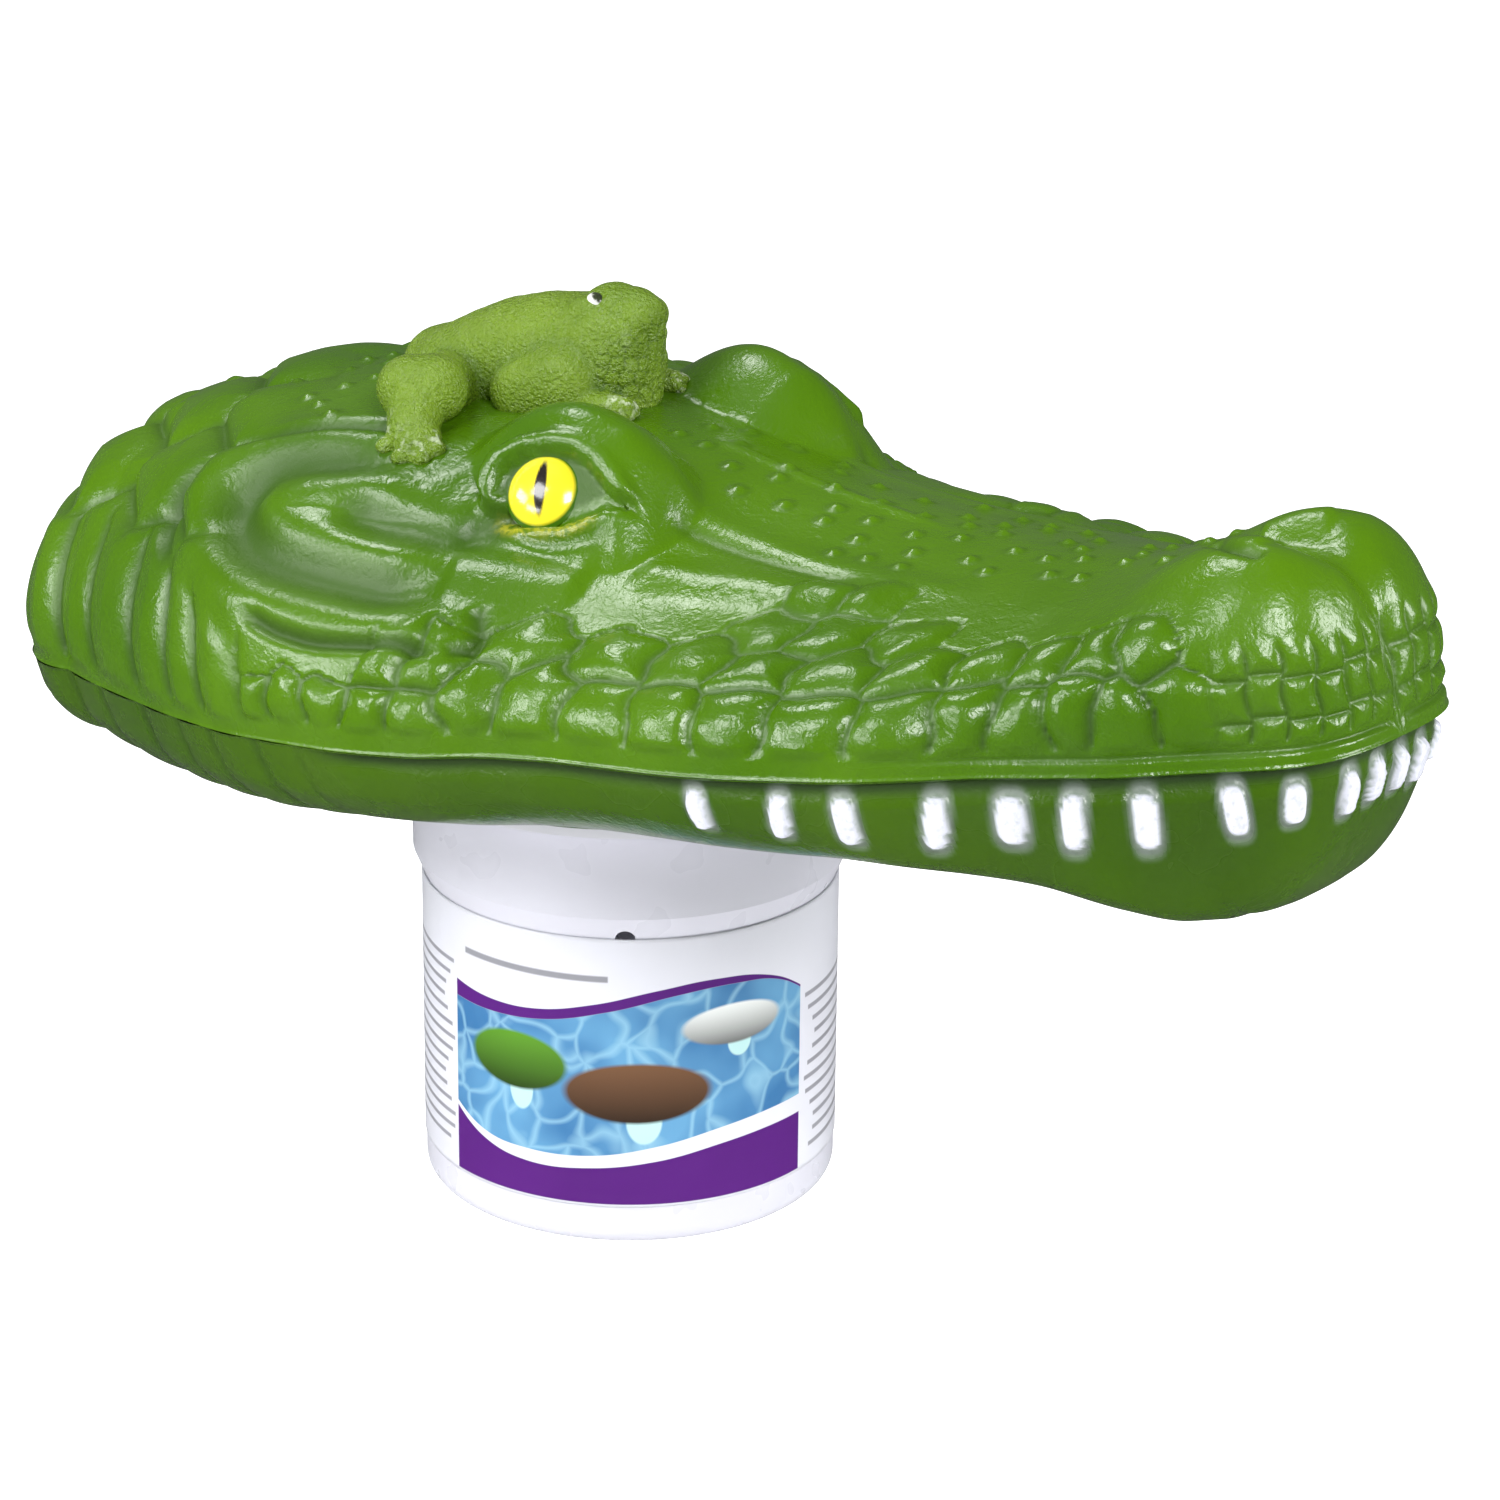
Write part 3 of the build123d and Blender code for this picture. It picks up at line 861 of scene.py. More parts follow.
def colour(red, green, blue):
    """Colour from 0-255 display values."""
    values = [c / 255 for c in (red, green, blue)]
    linear = [v / 12.92 if v <= 0.04045 else ((v + 0.055) / 1.055) ** 2.4 for v in values]
    return (*linear, 1)


def wrinkles(shader):
    """Leathery film wrinkles of the moulded skin, which break up its highlights."""
    wide = shader.times(shader.noise(260, 3, 0.55, 0.6), 0.7)
    small = shader.times(shader.noise(900, 2, 0.5, 0.4), 0.3)
    shader.bump(shader.maths("ADD", wide, small), 0.5, 0.0007)


def head_green(name, depth):
    """Green of the head; depth above 1 darkens it, as painted shade for the jaw and belly under the
    head.
    """
    shader = Shader(name)
    painted_shade = shader.layer("painted_shade")
    deep, light = colour(62 / depth, 101 / depth, 0), colour(77 / depth, 117 / depth, 3)
    streaks = shader.patches(700, 2, 0.25, 0.5, 0.75, 1)
    brushed = shader.patches(900, 2, 0.35, 0.6, 0.1, 0.55)
    green = shader.coats(
        shader.mix(shader.patches(14, 2, 0.35, 0.65), deep, light),
        (shader.times(shader.noise(90, 3), 0.35), (54, 92, 2)),
        # Painted shade: darker green over the hollows of the relief.
        (shader.times(painted_shade, 0.75), (26, 56, 0)),
        (shader.times(shader.layer("white"), streaks), (210, 212, 224)),
        (shader.times(shader.layer("yellow"), brushed), (206, 196, 48)),
    )
    wrinkles(shader)
    rough = shader.patches(60, 2, 0.3, 0.7, 0.2, 0.3)
    rough = shader.maths("ADD", rough, shader.times(painted_shade, 0.4))
    return shader.set(Base_Color=green, Roughness=rough)


def flat_plastic(name, tint, roughness, grain):
    shader = Shader(name)
    shade = shader.mix(shader.patches(35, 3), tint, (*(0.97 * c for c in tint[:3]), 1))
    shader.bump(shader.noise(grain, 2), 0.06, 0.0002)
    rough = shader.patches(80, 2, 0.3, 0.7, roughness * 0.85, roughness * 1.15)
    return shader.set(Base_Color=shade, Roughness=rough)


# ---- camera, lights, floor ----
CAMERA_AZIMUTH = math.radians(40)
CAMERA_PITCH = math.radians(20.79)
CAMERA_ROLL = math.radians(0.62)
CAMERA_PLACE = (0.735, -0.832, 0.528)
CAMERA_LENS = 120
# Soft boxes: azimuth and pitch like the camera's, distance, size and power.
LIGHTS = {
    "left": (-42, 22, 1.4, (0.5, 0.28), 6),
    "left_high": (-100, 57, 1.5, (0.4, 0.35), 6),
    "eye": (-18, 41, 1.5, (0.5, 0.42), 9),
    "lips": (-14, 15, 1.5, (0.6, 0.2), 5),
    "front": (52, 37, 1.5, (0.5, 0.45), 15),
    "right": (112, 20, 1.5, (0.5, 0.5), 13),
    "top": (310, 70, 1.6, (0.8, 0.8), 5.5),
}
LIGHT_AIM = Vector((0.02, 0, 0.14))
# The studio paper lies below the place that the released cups come down to.
RELEASE_ROOM = 0.165
PAPER_HALF = 6


def add_camera():
    data = bpy.data.cameras.new("camera")
    data.lens = CAMERA_LENS
    data.sensor_width = 36
    camera = add_object("camera", data)
    turn = Matrix.Rotation(CAMERA_AZIMUTH, 4, "Z")
    turn = turn @ Matrix.Rotation(math.pi / 2 - CAMERA_PITCH, 4, "X")
    turn = turn @ Matrix.Rotation(CAMERA_ROLL, 4, "Z")
    camera.matrix_world = Matrix.Translation(CAMERA_PLACE) @ turn
    bpy.context.scene.camera = camera


def add_light(name, azimuth, pitch, distance, size, power):
    data = bpy.data.lights.new(name, "AREA")
    data.shape = "RECTANGLE"
    data.size, data.size_y = size
    data.energy = power
    light = add_object(name, data)
    a, p = math.radians(azimuth), math.radians(pitch)
    away = Vector((math.sin(a) * math.cos(p), -math.cos(a) * math.cos(p), math.sin(p)))
    light.location = LIGHT_AIM + away * distance
    light.rotation_mode = "QUATERNION"
    light.rotation_quaternion = (-away).to_track_quat("-Z", "Y")
    return light


def add_sheet(name, height, glow):
    """White studio paper that the object floats above."""
    shader = Shader(name)
    paper = shader.mix(shader.noise(3, 2), (0.9, 0.9, 0.9, 1), (0.94, 0.94, 0.94, 1))
    shader.set(Base_Color=paper, Roughness=0.7, Emission_Color=paper, Emission_Strength=glow)
    mesh = bpy.data.meshes.new(name)
    corners = [(PAPER_HALF * a, PAPER_HALF * b, 0) for a, b in ((-1, -1), (1, -1), (1, 1), (-1, 1))]
    mesh.from_pydata(corners, [], [(0, 1, 2, 3)])
    mesh.materials.append(shader.material)
    sheet = add_object(name, mesh)
    sheet.location.z = height
    sheet.visible_glossy = False
    return sheet


def add_studio():
    """Lights, a floor that throws light up, and a whiter one over it that only the camera sees."""
    lights = {name: add_light(name, *facts) for name, facts in LIGHTS.items()}
    lights["top"].visible_glossy = False
    world = bpy.data.worlds.new("studio")
    world.use_nodes = True
    sky = world.node_tree.nodes["Background"].inputs
    sky["Color"].default_value = (0.95, 0.97, 1, 1)
    sky["Strength"].default_value = 0.13
    bpy.context.scene.world = world
    bpy.context.scene.view_settings.view_transform = "Standard"
    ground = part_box("outer_cup")[0].z - RELEASE_ROOM
    add_sheet("floor", ground, 0.4)
    backdrop = add_sheet("backdrop", ground + 0.001, 1)
    backdrop.visible_diffuse = False
    backdrop.visible_shadow = False


# ---- the eyes ----
EYE_BULGE, EYE_SINK = 5.2, 5.4
EYE_EDGE, EYE_LEVEL = EYE_RADIUS * 1.12, EYE_RADIUS * 1.22


def eye_material():
    shader = Shader("eye_paint")
    yellow = shader.mix(shader.patches(120, 2), colour(246, 232, 48), colour(232, 214, 40))
    paint = shader.coats(
        yellow, (shader.layer("slit"), (34, 28, 26)), (shader.layer("rim"), (60, 104, 14))
    )
    shader.bump(shader.noise(500, 2), 0.15, 0.0003)
    return shader.set(Base_Color=paint, Roughness=0.16, Coat_Weight=0.4, Coat_Roughness=0.08)


def eyeball(name, side, material):
    """Domed eye with a painted upright slit."""
    rings, turns = 26, 72
    angle = np.linspace(0, 2 * np.pi, turns, endpoint=False)[None]
    radius = (np.arange(1, rings + 1) / rings)[:, None] * EYE_EDGE + 0 * angle
    a, b = radius * np.cos(angle), radius * np.sin(angle)
    bulge = np.sqrt(np.clip(1 - (radius / EYE_LEVEL) ** 2, 0, 1))
    place = np.stack([a + EYE_SHIFT, b, EYE_BULGE * bulge - EYE_SINK], -1).reshape(-1, 3)
    place = np.append(place, [[EYE_SHIFT, 0, EYE_BULGE - EYE_SINK]], axis=0)
    points = EYE_MIDDLE + place @ np.stack([EYE_FORWARD, EYE_UP, EYE_OUT])
    last = rings * turns
    fan = [(last, (k + 1) % turns, k) for k in range(turns)]
    faces = [tuple(f) for f in grid_faces(rings, turns, flip=side < 0, close=True)]
    faces += fan if side > 0 else [f[::-1] for f in fan]
    slit = np.hypot((a - 0.06 * b - 0.4) / 1.5, (np.abs(b - 0.3) / 6.7) ** 0.8)
    rim = step(EYE_RADIUS - 0.25, EYE_RADIUS + 0.15, radius)
    layers = {"slit": np.append(1 - step(0.85, 1.1, slit), 1), "rim": np.append(rim, 0)}
    return new_piece(name, to_row(points * (1, -side, 1)), faces, material, layers)


# ---- the frog ----
FROG_VOXEL = 0.55
# The frog's own frame: u to its nose, v to its left, h up, turned on the crown about its place.
FROG_PLACE = (-20, 0)
FROG_TURN = math.radians(13)
# Balls of the trunk and head: u, v, h and radius.
FROG_TRUNK = [
    (18, 0, 68.4, 14.4), (4.8, 0, 67, 16), (-3.2, 0, 65.5, 16.4), (-10.5, 0, 64.2, 15.4),
    (-19.6, 0, 62.2, 14), (-27.5, 3, 64, 10.5),
]
FROG_HEAD = [
    (21.8, 0, 76, 9.2), (22.2, 0, 71, 10.6), (20.8, 0, 63.2, 11.2), (22.6, 0, 58.5, 8.6),
    (22.2, 0, 71, 10.6), (27, 0, 77.3, 6.8), (31.2, 0, 78, 3.9), (28, 0, 71, 5.4),
    (26.2, 0, 64, 6),
]
# Paired lumps and limbs, given for the left side: start, end, start radius, end radius.
FROG_PAIRS = [
    ((17.2, 5.6, 78.6), (18.6, 5.6, 78.9), 4.6, 4.6),
    ((29, 3.5, 76.6), (30.6, 2, 77.4), 4.4, 4),
    ((21, 5, 74), (25.5, 4.5, 72.5), 7.2, 6.4),
    ((21, 5, 64), (25.5, 4, 66), 7, 6.2),
    ((-16.5, 13, 63), (-13.5, 29, 66), 8.6, 8.2),
    ((-15.3, 33, 67.1), (-10.3, 31, 66.6), 8, 8.2),
    ((-13, 34, 65), (-10.7, 41, 59.6), 7.2, 6.2),
    ((12.7, 12, 64.5), (3.4, 15, 62.2), 9.6, 7.6),
    ((3.4, 16, 60), (28.6, 13, 58), 5.6, 3.4),
]
FROG_ANKLE = (-9.5, 42.5)
FROG_TOES = [(-15.5, 46), (-10, 48.8), (-5, 48), (-3, 44.5)]
FROG_WRIST = (28, 12)
FROG_FINGERS = [(31, 11), (30.8, 14), (28, 15.5)]


def from_frog(points):
    """The frog's own frame to the head's."""
    u, v, h = np.moveaxis(np.asarray(points, float), -1, 0)
    cos, sin = math.cos(FROG_TURN), math.sin(FROG_TURN)
    return np.stack([FROG_PLACE[0] + u * cos - v * sin, FROG_PLACE[1] + u * sin + v * cos, h], -1)


def to_frog(points):
    x, y, h = points[:, 0] - FROG_PLACE[0], points[:, 1] - FROG_PLACE[1], points[:, 2]
    cos, sin = math.cos(FROG_TURN), math.sin(FROG_TURN)
    return np.stack([x * cos + y * sin, y * cos - x * sin, h], -1)


def on_crown(u, v, lift):
    """Point a little above the bare crown, given in the frog's own frame."""
    x, y, _ = from_frog((u, v, 0))
    s = crown_surface
    gap = (s.x - x) ** 2 + (s.y - y) ** 2
    return (x, y, s.h.ravel()[gap.argmin()] + lift)


def add_ball(mesh, centre, radii):
    turn = Matrix.Translation(centre) @ Matrix.Diagonal((*radii, 1))
    bmesh.ops.create_icosphere(mesh, subdivisions=3, radius=1, matrix=turn)


def add_limb(mesh, start, end, start_radius, end_radius):
    """Tapered limb of overlapping balls."""
    start, end = Vector(start), Vector(end)
    count = max(2, int((end - start).length / (0.35 * min(start_radius, end_radius))) + 1)
    for k in range(count + 1):
        share = k / count
        radius = start_radius + (end_radius - start_radius) * share
        add_ball(mesh, start.lerp(end, share), (radius,) * 3)


def add_digits(mesh, root, tips, side, thickness):
    """Foot or hand lying on the crown: a low pad with short digits that end in small bulbs."""
    pad = on_crown(root[0], side * root[1], 1.8)
    add_ball(mesh, pad, (thickness * 2.9, thickness * 2.4, thickness * 1.6))
    for u, v in tips:
        tip = on_crown(u, side * v, 1)
        add_limb(mesh, pad, tip, thickness, thickness * 0.8)
        add_ball(mesh, tip, (thickness * 1.1, thickness * 1.1, thickness * 0.95))


def frog_form():
    """Points, faces, normals and edges of the frog's smooth body."""
    mesh = bmesh.new()
    for chain in (FROG_TRUNK, FROG_HEAD):
        for (*start, start_radius), (*end, end_radius) in zip(chain, chain[1:]):
            add_limb(mesh, from_frog(start), from_frog(end), start_radius, end_radius)
    for side in (1, -1):
        for start, end, start_radius, end_radius in FROG_PAIRS:
            mirrored = [from_frog((p[0], side * p[1], p[2])) for p in (start, end)]
            add_limb(mesh, *mirrored, start_radius, end_radius)
        add_digits(mesh, FROG_ANKLE, FROG_TOES, side, 2.4)
        add_digits(mesh, FROG_WRIST, FROG_FINGERS, side, 1.4)
    rough = bpy.data.meshes.new("frog_rough")
    mesh.to_mesh(rough)
    mesh.free()
    draft = add_object("frog_rough", rough)
    remesh = draft.modifiers.new("skin", "REMESH")
    remesh.mode = "VOXEL"
    remesh.voxel_size = FROG_VOXEL
    smooth = draft.modifiers.new("soften", "SMOOTH")
    smooth.factor = 0.5
    smooth.iterations = 18
    bpy.context.view_layer.update()
    graph = bpy.context.evaluated_depsgraph_get()
    done = bpy.data.meshes.new_from_object(draft.evaluated_get(graph))
    bpy.data.objects.remove(draft)
    points = np.array([v.co for v in done.vertices], float)
    normals = np.array([v.normal for v in done.vertices], float)
    edges = np.array([tuple(e.vertices) for e in done.edges])
    return points, [tuple(p.vertices) for p in done.polygons], normals, edges


def hollows(points, normals, edges, rounds):
    """How deep each point lies in a hollow: 0 on open skin, rising in creases."""
    count = np.bincount(edges.ravel(), minlength=len(points))[:, None]
    smooth = points.copy()
    for _ in range(rounds):
        total = np.zeros_like(smooth)
        np.add.at(total, edges[:, 0], smooth[edges[:, 1]])
        np.add.at(total, edges[:, 1], smooth[edges[:, 0]])
        smooth = total / np.maximum(count, 1)
    return np.einsum("ij,ij->i", smooth - points, normals)


def spaced_seeds(points, gap, seed):
    """A random choice of points, none nearer to another than gap."""
    rng = np.random.default_rng(seed)
    chosen = np.empty((0, 3))
    for point in points[rng.permutation(len(points))]:
        if not len(chosen) or np.linalg.norm(chosen - point, axis=1).min() > gap:
            chosen = np.vstack([chosen, point])
    return chosen


THROAT_SCALE = 2.7


def frog_skin(points, normals, edges):
    """Rise and paint layers of the frog: throat cobbles, pebbles, and painted shade in the creases
    and between the cobbles.
    """
    u, v, h = to_frog(points).T
    throat = step(16, 21, u + 0.12 * (66 - h)) * (np.abs(v) < 13.5)
    throat = throat * (1 - step(75, 79, h)) * (1 - step(69, 73, h - 0.8 * (u - 24)))
    seeds = spaced_seeds(points[throat > 0.02], THROAT_SCALE, SEED + 4)
    gap = np.linalg.norm(points[:, None] - seeds[None], axis=2)
    nearest = np.sort(gap, axis=1)[:, :2]
    edge = (nearest[:, 1] - nearest[:, 0]) / 2
    rise = throat * (0.55 * (1 - np.exp(-edge / 0.28)) - 0.4)
    rise += 0.05 * ripple(points, 1.6, SEED + 5) * (1 - throat)
    # Painted shade: the skin darkens in creases and in the grooves between the throat cobbles.
    crease = np.clip(hollows(points, normals, edges, 40) / 1.1, 0, 1)
    painted_shade = np.clip(crease + 0.6 * throat * bell(edge, 0.16), 0, 1)
    return rise, {"painted_shade": painted_shade, "spray": frog_spray(points)}


def frog_spray(points):
    """Pale paint caught on the toes and fingers."""
    own = to_frog(points)
    spray = np.zeros(len(points))
    for tips in (FROG_TOES, FROG_FINGERS):
        for u, v in tips:
            away = np.hypot(own[:, 0] - u, np.abs(own[:, 1]) - v)
            spray = np.maximum(spray, bell(away, 1.7))
    return spray


def frog_green():
    shader = Shader("frog_green")
    specks = shader.patches(600, 2, 0.5, 0.62, 0, 0.7)
    green = shader.coats(
        shader.mix(shader.patches(55, 3, 0.35, 0.65), colour(102, 131, 26), colour(120, 149, 38)),
        (shader.times(shader.noise(900, 1), 0.4), (88, 122, 30)),
        # Painted shade over the creases and cobble grooves.
        (shader.times(shader.layer("painted_shade"), 0.8), (52, 84, 22)),
        (shader.times(shader.layer("spray"), specks), (214, 224, 196)),
    )
    shader.bump(shader.noise(1150, 2, 0.6), 1, 0.0013)
    return shader.set(Base_Color=green, Roughness=shader.patches(300, 2, 0.3, 0.7, 0.2, 0.3))


def add_frog():
    points, faces, normals, edges = frog_form()
    rise, layers = frog_skin(points, normals, edges)
    points = to_row(points + normals * rise[:, None])
    frog = new_piece("frog", points, faces, frog_green(), layers)
    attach(frog, "float")
    for name, side in (("frog_right_eye", -1), ("frog_left_eye", 1)):
        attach(frog_eye(name, side), "float")


FROG_EYE = (20.4, 6, 81.6)
FROG_EYE_RADIUS = 2.3
FROG_GAZE = (0.68, 0.1, 0.7)


def frog_eye(name, side):
    """Small white bead with a black pupil that looks out and up."""
    rings, turns = 18, 32
    polar = np.linspace(0.02, np.pi - 0.02, rings)[:, None]
    angle = np.linspace(0, 2 * np.pi, turns, endpoint=False)[None]
    wide = np.sin(polar)
    ball = np.stack([wide * np.cos(angle), wide * np.sin(angle), np.cos(polar) + 0 * angle], -1)
    faces = grid_faces(rings, turns, flip=True, close=True)
    outward = ball.reshape(-1, 3)
    middle, ahead, start = (
        from_frog((u, side * v, h)) for u, v, h in (FROG_EYE, FROG_GAZE, (0, 0, 0))
    )
    pupil = step(0.55, 0.72, outward @ unit(ahead - start))
    shader = Shader(name + "_paint")
    paint = shader.mix(shader.layer("pupil"), colour(232, 232, 228), colour(18, 16, 16))
    paint = shader.coats(paint, (shader.times(shader.noise(1500, 1), 0.25), (120, 140, 90)))
    material = shader.set(Base_Color=paint, Roughness=0.2)
    points = to_row(middle + outward * FROG_EYE_RADIUS)
    return new_piece(name, points, faces, material, {"pupil": pupil})


# ---- belly and cup ----
SEAT_HEIGHT, SEAT_RADIUS = 112, 62
HOLE_RADIUS = 63.6
LIP_RADIUS = 65.4


def outside_hole(row_points):
    """True where the jaw's skin is kept, round the opening for the socket."""
    away = np.hypot(row_points[:, 0], row_points[:, 1]) > HOLE_RADIUS * MM
    return away | (row_points[:, 2] > (SEAM_HEIGHT - 4) * MM)


def belly_height(jaw_points, radius, angle):
    """Height of the jaw's underside at a place round the cup's axis, in metres."""
    x, y = radius * MM * math.cos(angle), radius * MM * math.sin(angle)
    gap = (jaw_points[:, 0] - x) ** 2 + (jaw_points[:, 1] - y) ** 2
    nearest = np.argpartition(gap, 6)[:6]
    return jaw_points[nearest, 2].mean()


def seat_profile(jaw_points, angle):
    """Radius and height down from the level seat and out to the belly, in metres."""
    seat = SEAT_HEIGHT * MM
    outer = belly_height(jaw_points, LIP_RADIUS, angle)
    edge = min(belly_height(jaw_points, SEAT_RADIUS, angle), seat) - 0.0004
    profile = [
        (54.5, seat + 0.0003), (61.6, seat + 0.0001), (62, min(seat, edge + 0.0006)),
        (62.3, edge), (63.2, edge - 0.0003), (64.6, min(outer, seat) - 0.0005),
        (65.1, min(outer, seat) - 0.0002), (LIP_RADIUS, outer + 0.0006),
    ]
    return [(r * MM * math.cos(angle), r * MM * math.sin(angle), z) for r, z in profile]


def belly_seat(material):
    """Level seat under the head that takes the socket, with a rounded lip into the belly."""
    low = jaw_surface.points.reshape(-1, 3)
    low = low[(np.abs(low[:, 0]) < 90) & (np.abs(low[:, 1]) < 75) & (low[:, 2] < -15)]
    jaw_points = to_row(low)
    turns = np.linspace(0, 2 * np.pi, 180, endpoint=False)
    rings = np.array([seat_profile(jaw_points, angle) for angle in turns]).transpose(1, 0, 2)
    faces = grid_faces(*rings.shape[:2], close=True)
    points = rings.reshape(-1, 3)
    layers = {layer: np.zeros(len(points)) for layer in ("painted_shade", "white", "yellow")}
    return new_piece("belly_seat", points, faces, material, layers)


LABEL_RADIUS = 49.95
LABEL_LOW, LABEL_HIGH = 10.4, 78.5
LABEL_FRONT = math.radians(-50)
LABEL_GAP = math.radians(4)
LABEL_THICK = 0.25
PANEL_LEFT, PANEL_RIGHT = -46.5, 47.6
LINE_SCALE = 100
# Edges of the printed panel, as (mm round the cup, mm up).
SWOOSH_TOP = [
    (-46.5, 60), (-33, 58.6), (-20, 59.3), (-7, 62), (8, 65.6), (22, 67), (36, 64.9),
    (47.6, 58.8),
]
SWOOSH_BOTTOM = [
    (-46.5, 55.8), (-33, 55.6), (-18, 57), (-4, 60.2), (14, 64.3), (28, 64.9), (38, 63.3),
    (47.6, 58.2),
]
PICTURE_BOTTOM = [
    (-46.5, 28.6), (-36, 24), (-24, 22.8), (-7, 23.4), (8, 25.9), (25, 29.1), (47.6, 30.6),
]
BAND_TOP = [
    (-46.5, 27.4), (-36, 21.9), (-24, 19.6), (-7, 20.2), (8, 22.1), (25, 24.9), (47.6, 26),
]
BAND_BOTTOM = 11
# Plain floats in the picture: middle, half sizes, colour.
BUOYS = [
    ((-27, 45), (13, 7.2), (86, 142, 32)),
    ((3, 39.5), (17.5, 7.6), (112, 78, 52)),
    ((26.5, 55), (13, 5), (222, 226, 224)),
]
# Blocks of small print: left, right, low, high, gap between lines, colour.
PRINT = [
    (-76, -50, 16, 66, 3.3, (70, 68, 78)),
    (52, 80, 14, 58, 3.6, (70, 68, 78)),
    (-43, -4, 66.2, 71, 4.8, (40, 38, 46)),
]


class LabelArt(Shader):
    """Printed panel drawn in millimetres round and up the cup."""

    def __init__(self):
        super().__init__("label_print")
        place = self.add("ShaderNodeUVMap", uv_map="mm").outputs[0]
        self.round, self.up, _ = self.add("ShaderNodeSeparateXYZ", {0: place}).outputs

    def line(self, points):
        """Height of a smooth line through points, at each place round the cup."""
        node = self.nodes.new("ShaderNodeFloatCurve")
        line = node.mapping.curves[0]
        span = PANEL_RIGHT - PANEL_LEFT
        places = [((u - PANEL_LEFT) / span, v / LINE_SCALE) for u, v in points]
        line.points[0].location = places[0]
        line.points[1].location = places[-1]
        for place in places[1:-1]:
            line.points.new(*place)
        node.mapping.update()
        self.put(node, "Value", self.span(self.round, PANEL_LEFT, PANEL_RIGHT))
        return self.times(node.outputs[0], LINE_SCALE)

    def away(self, value, middle, size=1):
        return self.maths("DIVIDE", self.maths("SUBTRACT", value, middle), size)

    def above(self, line):
        return self.span(self.away(self.up, line), -0.08, 0.08)

    def between(self, value, low, high, soft=0.08):
        rise = self.span(value, low - soft, low + soft)
        return self.times(rise, self.span(value, high - soft, high + soft, 1, 0))

    def band(self, lower, upper):
        return self.away(self.above(lower), self.above(upper))

    def oval(self, middle, sizes):
        """Inside of an oval, and the height in it from -1 to 1."""
        a, b = self.away(self.round, middle[0], sizes[0]), self.away(self.up, middle[1], sizes[1])
        far = self.maths("SQRT", self.maths("ADD", self.times(a, a), self.times(b, b)))
        return self.span(far, 0.94, 1.06, 1, 0), b

    def water(self):
        """Blue water with a web of light on it."""
        inputs = {"Scale": 95, "Vector": self.bent()}
        cell = self.add("ShaderNodeTexVoronoi", inputs, feature="DISTANCE_TO_EDGE")
        web = self.span(cell.outputs["Distance"], 0, 0.12, 0.55, 0)
        deep = self.mix(self.patches(45, 2, 0.35, 0.65), colour(52, 110, 160), colour(92, 150, 190))
        return self.mix(web, deep, colour(150, 196, 214))

    def bent(self):
        """Place, shifted a little by noise."""
        inputs = {"Scale": 60, "Detail": 1, "Vector": self.place()}
        shift = self.add("ShaderNodeTexNoise", inputs).outputs["Color"]
        inputs = {0: shift, 1: (0.02, 0.02, 0.02)}
        small = self.add("ShaderNodeVectorMath", inputs, operation="MULTIPLY").outputs[0]
        inputs = {0: self.place(), 1: small}
        return self.add("ShaderNodeVectorMath", inputs, operation="ADD").outputs[0]

    def small_print(self, paint, left, right, low, high, gap, tint):
        """Grey bars with ragged ends where lines of small print would be."""
        row = self.away(self.up, low, gap)
        end = self.maths("SINE", self.times(self.maths("FLOOR", row), 5.3))
        place = self.maths("ADD", self.round, self.times(end, 2.4))
        ink = self.times(self.between(place, left, right, 0.15), self.between(self.up, low, high))
        ink = self.times(ink, self.between(self.maths("FRACT", row), 0.3, 0.62, 0.04))
        return self.mix(self.times(ink, 0.62), paint, colour(*tint))

    def buoy(self, paint, middle, sizes, tint):
        """Plain float with its cup hanging under it."""
        (u, v), (wide, high) = middle, sizes
        cup, _ = self.oval((u + 1.5, v - high * 0.95), (wide * 0.24, high * 0.75))
        body, height = self.oval(middle, sizes)
        painted_shade, light = colour(*(0.45 * c for c in tint)), colour(*tint)
        paint = self.mix(cup, paint, colour(176, 214, 214))
        return self.mix(body, paint, self.mix(self.span(height, -1, 0.9), painted_shade, light))

    def paint(self):
        white = self.mix(self.noise(40, 2), colour(207, 208, 217), colour(217, 218, 226))
        purple = self.mix(self.noise(60, 2), colour(76, 14, 110), colour(86, 20, 122))
        picture = self.water()
        for facts in BUOYS:
            picture = self.buoy(picture, *facts)
        swoosh, top = self.line(SWOOSH_BOTTOM), self.line(SWOOSH_TOP)
        panel = self.mix(self.band(self.line(PICTURE_BOTTOM), swoosh), white, picture)
        panel = self.mix(self.band(swoosh, top), panel, purple)
        panel = self.mix(self.band(BAND_BOTTOM, self.line(BAND_TOP)), panel, purple)
        paint = self.mix(self.between(self.round, PANEL_LEFT, PANEL_RIGHT), white, panel)
        for facts in PRINT:
            paint = self.small_print(paint, *facts)
        return paint


def label_material():
    art = LabelArt()
    art.bump(art.noise(500, 1), 0.03, 0.0002)
    return art.set(Base_Color=art.paint(), Roughness=0.3)


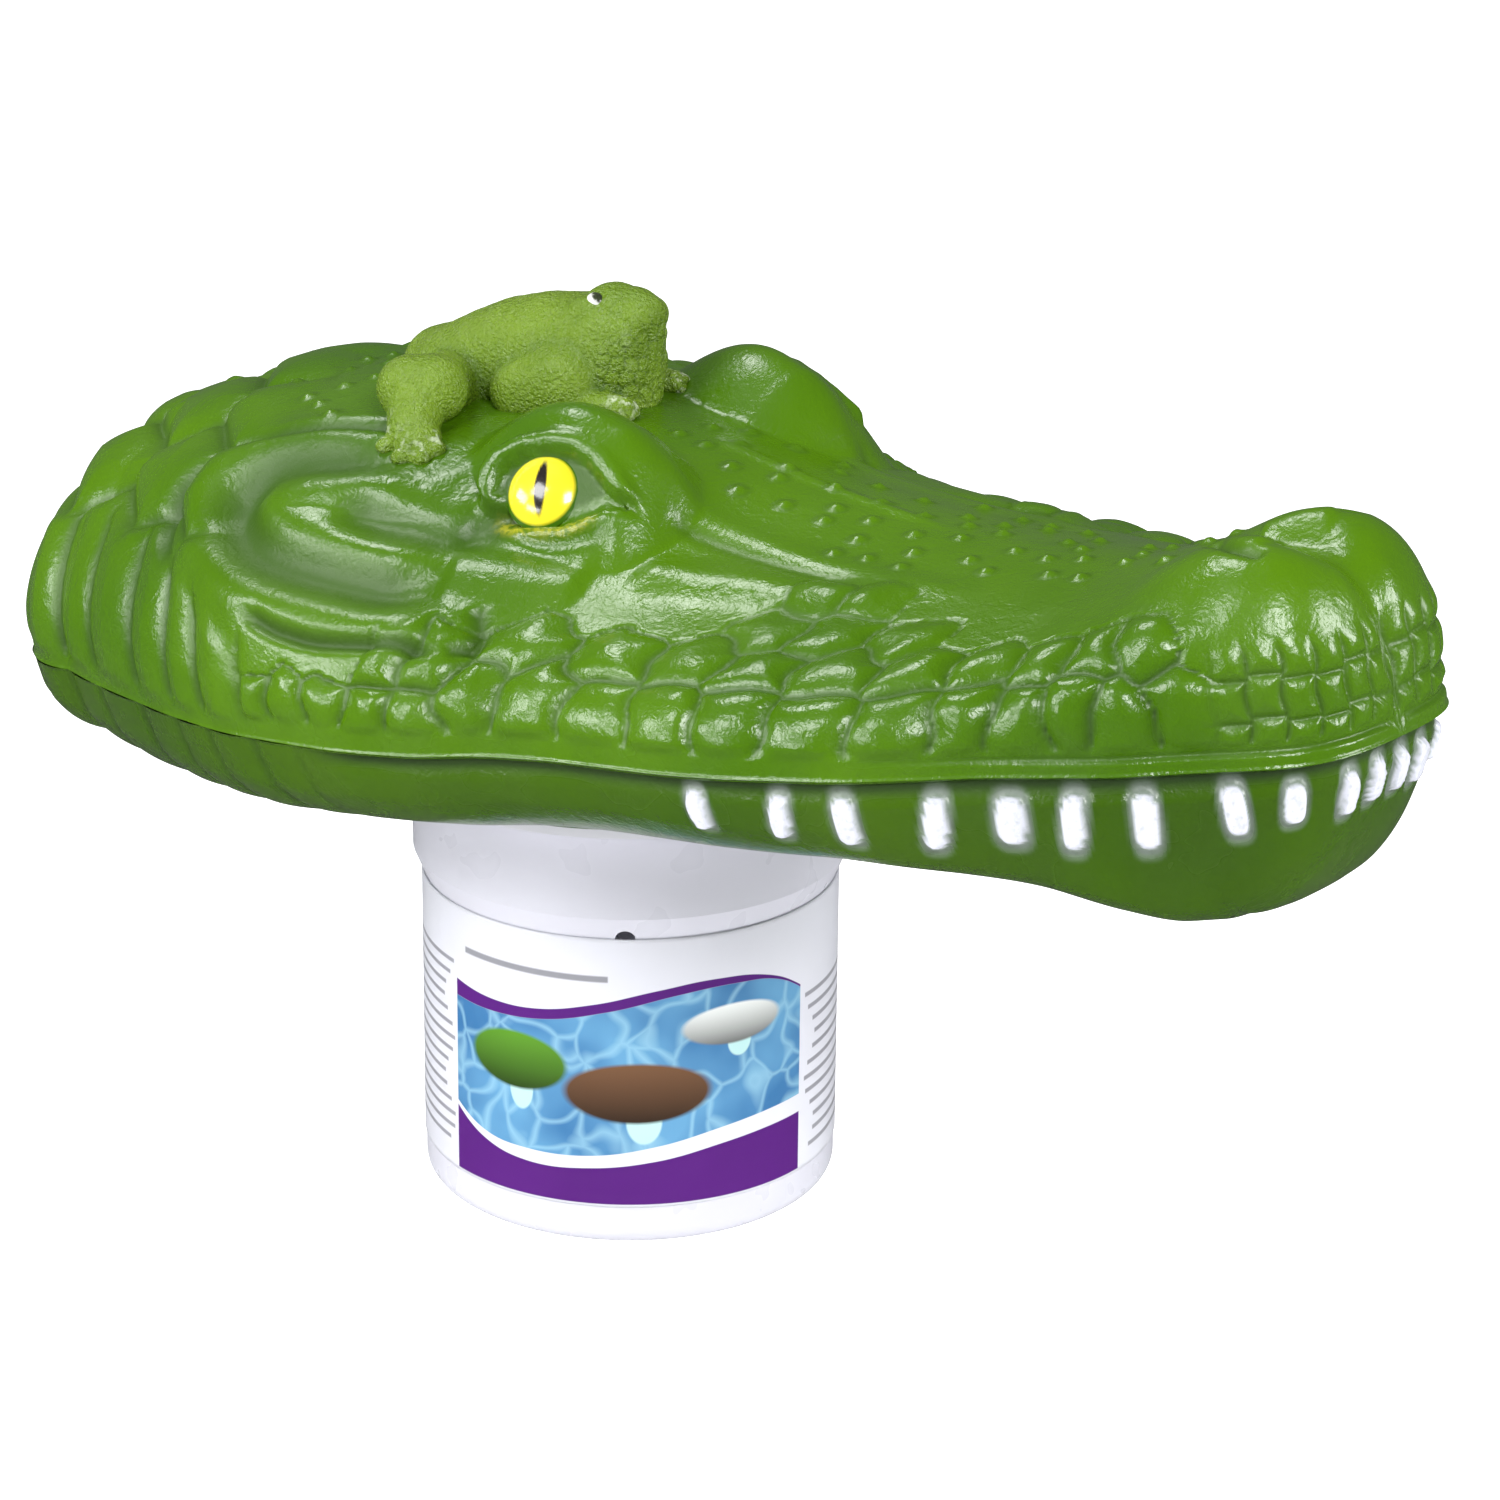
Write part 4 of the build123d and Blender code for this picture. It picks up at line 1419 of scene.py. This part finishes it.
def wrap_label():
    """Thin printed film round the cup, its upper edge across the middle of the vent holes."""
    rows, columns = 69, 481
    turn = np.linspace(-np.pi + LABEL_GAP / 2, np.pi - LABEL_GAP / 2, columns)
    turn, up = np.meshgrid(turn, np.linspace(LABEL_LOW, LABEL_HIGH, rows))
    angle = LABEL_FRONT + turn
    points = np.stack([LABEL_RADIUS * np.cos(angle), LABEL_RADIUS * np.sin(angle), up], -1)
    shared = np.stack([turn * LABEL_RADIUS, up], -1).reshape(-1, 2)
    faces = grid_faces(rows, columns)
    piece = new_piece("printed_label", points.reshape(-1, 3) * MM, faces, label_material())
    layer = piece.data.uv_layers.new(name="mm")
    loops = np.zeros(len(piece.data.loops), int)
    piece.data.loops.foreach_get("vertex_index", loops)
    layer.data.foreach_set("uv", shared[loops].astype(np.float32).ravel())
    solid = piece.modifiers.new("film", "SOLIDIFY")
    solid.thickness = LABEL_THICK * MM
    solid.offset = -1
    return piece


def dress_cad(node, material):
    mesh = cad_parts[node].data
    mesh.materials.clear()
    mesh.materials.append(material)
    mesh.shade_smooth()


# ---- the scene ----
add_camera()
add_studio()

crown_paint = head_green("crown_green", 1)
# The jaw and belly get a darker copy of the green: painted shade for the underside.
shaded_jaw_paint = head_green("jaw_green_shaded", 1.25)
eye_paint = eye_material()

crown_skin, crown_surface = head_half("crown_skin", True, crown_paint)
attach(crown_skin, "float")
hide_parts("upper_head_shell")

jaw_skin, jaw_surface = head_half("jaw_skin", False, shaded_jaw_paint, keep=outside_hole)
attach(jaw_skin, "float")
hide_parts("lower_jaw_shell")

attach(belly_seat(shaded_jaw_paint), "float")

for eye_name, eye_side in (("left_eye", 1), ("right_eye", -1)):
    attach(eyeball(eye_name, eye_side, eye_paint), "float")

add_frog()

label = wrap_label()
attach(label, "regulator")
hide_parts("wrap_label")

cup_white = flat_plastic("cup_white", colour(207, 207, 217), 0.3, 500)
socket_white = flat_plastic("socket_white", colour(220, 220, 228), 0.4, 400)
rubber = flat_plastic("seal_rubber", colour(30, 30, 32), 0.6, 900)
steel = flat_plastic("screw_steel", colour(170, 172, 176), 0.3, 1500)
steel.node_tree.nodes["Principled BSDF"].inputs["Metallic"].default_value = 1
for finish, cad_nodes in (
    (cup_white, ("outer_cup", "inner_cup")), (socket_white, ("socket_cup", "clamp_ring")),
    (rubber, ("socket_gasket", "vent_plug")), (steel, ("socket_screws",)),
):
    for cad_node in cad_nodes:
        dress_cad(cad_node, finish)
